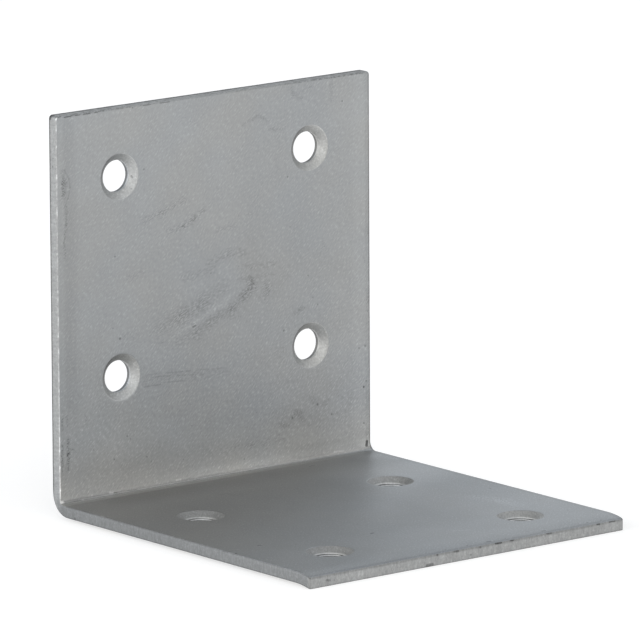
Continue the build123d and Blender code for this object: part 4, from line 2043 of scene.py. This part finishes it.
@dataclass(frozen=True)
class BoreWall(Finish):
    """The punched wall of a screw hole: burnished by the punch at first, then torn and dark.

    Attributes:
        tear: how the line between the two wavers.
        tear_start: how deep in the sheet the line starts, in millimetres from its outer face.
        tear_stop: where it ends.
        torn_tone: the factor on the tone of the torn part.
        smooth_tone: the factor on the tone of the burnished part.
    """

    tear: Waver = Waver(Pattern(2.5), 0.2)
    tear_start: float = 0.55
    tear_stop: float = 0.75
    torn_tone: float = 0.5
    smooth_tone: float = 1.2

    def wear_and_painted_light(self, surface: Surface) -> bpy.types.NodeSocket:
        """How much of its light the coat keeps in a punched hole, with painted rings in the
        bores.

        Args:
            surface: the place that is shaded.

        Returns:
            The share, about 1.
        """
        torn = surface.wavering(surface.on(DEPTH), self.tear, surface.point)
        tone = surface.sheet.ramp(
            torn, self.tear_start, self.tear_stop, self.torn_tone, self.smooth_tone
        )
        return surface.sheet.total(tone, surface.layer(PAINTED_BORE_RINGS))


def finishes() -> dict[Zone, Finish]:
    """Every finish of the bracket.

    Returns:
        The finishes, by the zone they cover.
    """
    return {
        Zone.WALL_SKIN: InnerSkin(
            "wall_skin", marks=WALL_MARKS, layers=WALL_LAYERS, grain_layers=(WALL_GRAIN,),
            warmth=WALL_WARMTH, drift=0.3,
        ),
        Zone.BASE_SKIN: InnerSkin(
            "base_skin", leg=Leg.BASE, grain=1.1, marks=BASE_MARKS, layers=BASE_LAYERS,
            tilt=BASE_TILT, warmth=BASE_WARMTH, drift=0.15,
        ),
        Zone.OUTER_SKIN: OuterSkin("outer_skin"),
        Zone.CUT: CutFace(
            "cut_face", tone=0.95, marks=CUT_MARKS, layers=CUT_LAYERS, warmth=CUT_WARMTH,
            drift=0.0,
        ),
        Zone.SINK: SinkCone(
            "sink_cone", roughness=0.64, tone=1.12, marks=CONE_MARKS, warmth=CONE_WARMTH,
            drift=0.3,
        ),
        Zone.BORE: BoreWall("bore_wall"),
    }


@dataclass(frozen=True)
class PhotoCamera:
    """The camera of the photograph, solved from the bracket's own edges.

    Attributes:
        place: where it stands, in metres.
        azimuth: how far it looks round from +Y towards +X, in degrees.
        elevation: how far it looks down, in degrees.
        roll: its turn about its own line of sight, in degrees.
        focal_pixels: its focal length, in pixels of the picture.
        picture_pixels: the picture's width.
        sensor: the width of the camera's sensor, in millimetres.
        nearest: how near it sees, in metres.
        farthest: how far it sees.
    """

    place: tuple[float, float, float] = (-0.837467, -1.040385, 0.306107)
    azimuth: float = 38.7273
    elevation: float = 11.6357
    roll: float = -0.2745
    focal_pixels: float = 9171.08
    picture_pixels: float = 640.0
    sensor: float = 36.0
    nearest: float = 0.05
    farthest: float = 20.0

    def build(self) -> bpy.types.Object:
        """Makes the scene's camera.

        Returns:
            The camera.
        """
        data = bpy.data.cameras.new("photo_camera")
        data.sensor_width = self.sensor
        data.lens = self.focal_pixels / self.picture_pixels * self.sensor
        data.clip_start, data.clip_end = self.nearest, self.farthest
        camera = bpy.data.objects.new("photo_camera", data)
        turn, down = math.radians(self.azimuth), math.radians(self.elevation)
        ahead = Vector(
            (math.sin(turn) * math.cos(down), math.cos(turn) * math.cos(down), -math.sin(down))
        )
        tilt = Quaternion((0, 0, 1), math.radians(self.roll))
        camera.rotation_mode = "QUATERNION"
        camera.rotation_quaternion = ahead.to_track_quat("-Z", "Y") @ tilt
        camera.location = self.place
        bpy.context.scene.collection.objects.link(camera)
        bpy.context.scene.camera = camera
        return camera


@dataclass(frozen=True)
class SoftBox:
    """A large square soft light that faces the bracket.

    Attributes:
        name: the light's name.
        bearing: where it stands, in degrees from +X towards +Y.
        rise: how high it stands, in degrees above the floor.
        level: how bright it looks, where 1 is white.
        tint: its colour.
        size: the length of its side, in metres.
        distance: how far it stands from the bracket, in metres.
        aim_height: how high above the floor it aims, in metres.
    """

    name: str
    bearing: float
    rise: float
    level: float
    tint: tuple[float, float, float] = (1.0, 1.0, 1.0)
    size: float = 1.2
    distance: float = 1.6
    aim_height: float = 0.03

    def build(self) -> None:
        """Makes the light and turns it to the bracket."""
        data = bpy.data.lights.new(self.name, "AREA")
        data.shape = "SQUARE"
        data.size = self.size
        data.energy = self.level * math.pi * self.size**2
        data.color = self.tint
        light = bpy.data.objects.new(self.name, data)
        turn, lift = math.radians(self.bearing), math.radians(self.rise)
        away = Vector(
            (math.cos(turn) * math.cos(lift), math.sin(turn) * math.cos(lift), math.sin(lift))
        )
        light.location = away * self.distance + Vector((0, 0, self.aim_height))
        light.rotation_mode = "QUATERNION"
        light.rotation_quaternion = (-away).to_track_quat("-Z", "Y")
        bpy.context.scene.collection.objects.link(light)


WARM_TINT = (1.0, 0.995, 0.98)
COOL_TINT = (0.88, 0.94, 1.0)


@dataclass(frozen=True)
class Studio:
    """The plain floor, the pale surround and the soft lights.

    Attributes:
        surround: how bright the surround is.
        surround_tint: its colour.
        floor_colour: how light the floor is.
        floor_glow: what the floor adds to that where it is seen, so that it looks white.
        floor_size: the length of the floor's side, in metres.
        boxes: the lights.
    """

    surround: float = 0.5
    surround_tint: tuple[float, float, float] = (0.96, 0.98, 1.0)
    floor_colour: float = 0.5
    floor_glow: float = 0.56
    floor_size: float = 6.0
    boxes: tuple[SoftBox, ...] = (
        SoftBox("left_box", 180.0, 12.0, 3.44, WARM_TINT),
        SoftBox("front_left_box", 225.0, 12.0, 2.39, WARM_TINT),
        SoftBox("back_box", 90.0, 12.0, 1.71, COOL_TINT),
        SoftBox("back_left_box", 135.0, 12.0, 0.89),
        SoftBox("front_right_box", 315.0, 12.0, 0.79),
        SoftBox("back_right_box", 45.0, 12.0, 0.28, COOL_TINT),
        SoftBox("high_right_box", 0.0, 45.0, 0.56, COOL_TINT),
        SoftBox("high_front_right_box", 315.0, 45.0, 0.29),
        SoftBox("high_front_left_box", 256.0, 46.0, 0.8, WARM_TINT),
        SoftBox("top_box", 0.0, 89.0, 0.16),
    )

    def build(self) -> None:
        """Makes the floor, the lights and the world."""
        self.world()
        self.floor()
        for box in self.boxes:
            box.build()

    def world(self) -> None:
        """A plain pale surround, which lights the bracket evenly."""
        world = bpy.data.worlds.new("pale_surround")
        bpy.context.scene.world = world
        world.use_nodes = True
        back = world.node_tree.nodes["Background"]
        back.inputs["Color"].default_value = (*self.surround_tint, 1)
        back.inputs["Strength"].default_value = self.surround

    def floor(self) -> None:
        """A pale floor at the bracket's lowest arris, which looks white and keeps its shadow."""
        mesh = bpy.data.meshes.new("floor")
        plate = bmesh.new()
        bmesh.ops.create_grid(plate, x_segments=1, y_segments=1, size=self.floor_size / 2)
        plate.to_mesh(mesh)
        plate.free()
        floor = bpy.data.objects.new("floor", mesh)
        bpy.context.scene.collection.objects.link(floor)
        material = bpy.data.materials.new("pale_floor")
        material.use_nodes = True
        shader = material.node_tree.nodes["Principled BSDF"]
        shader.inputs["Base Color"].default_value = (*[self.floor_colour] * 3, 1)
        shader.inputs["Roughness"].default_value = 1.0
        shader.inputs["Specular IOR Level"].default_value = 0.0
        shader.inputs["Emission Color"].default_value = (1, 1, 1, 1)
        sheet = NodeSheet(material.node_tree)
        rays = sheet.node("ShaderNodeLightPath").outputs
        seen = sheet.math("MAXIMUM", rays["Is Camera Ray"], rays["Is Glossy Ray"])
        seen = sheet.math("MAXIMUM", seen, rays["Is Transmission Ray"])
        sheet.feed(shader.inputs["Emission Strength"], sheet.product(seen, self.floor_glow))
        mesh.materials.append(material)


def main() -> None:
    """Builds the bracket, the studio and the camera."""
    logging.basicConfig(level=logging.INFO)
    bracket = AngleBracket()
    piece = bracket.piece()
    bracket.dress(piece)
    log.info("%s: %d faces", piece.name, len(piece.data.polygons))
    Studio().build()
    PhotoCamera().build()
    bpy.context.scene.view_settings.view_transform = "Standard"
    bpy.context.view_layer.update()


if __name__ == "__main__":
    main()
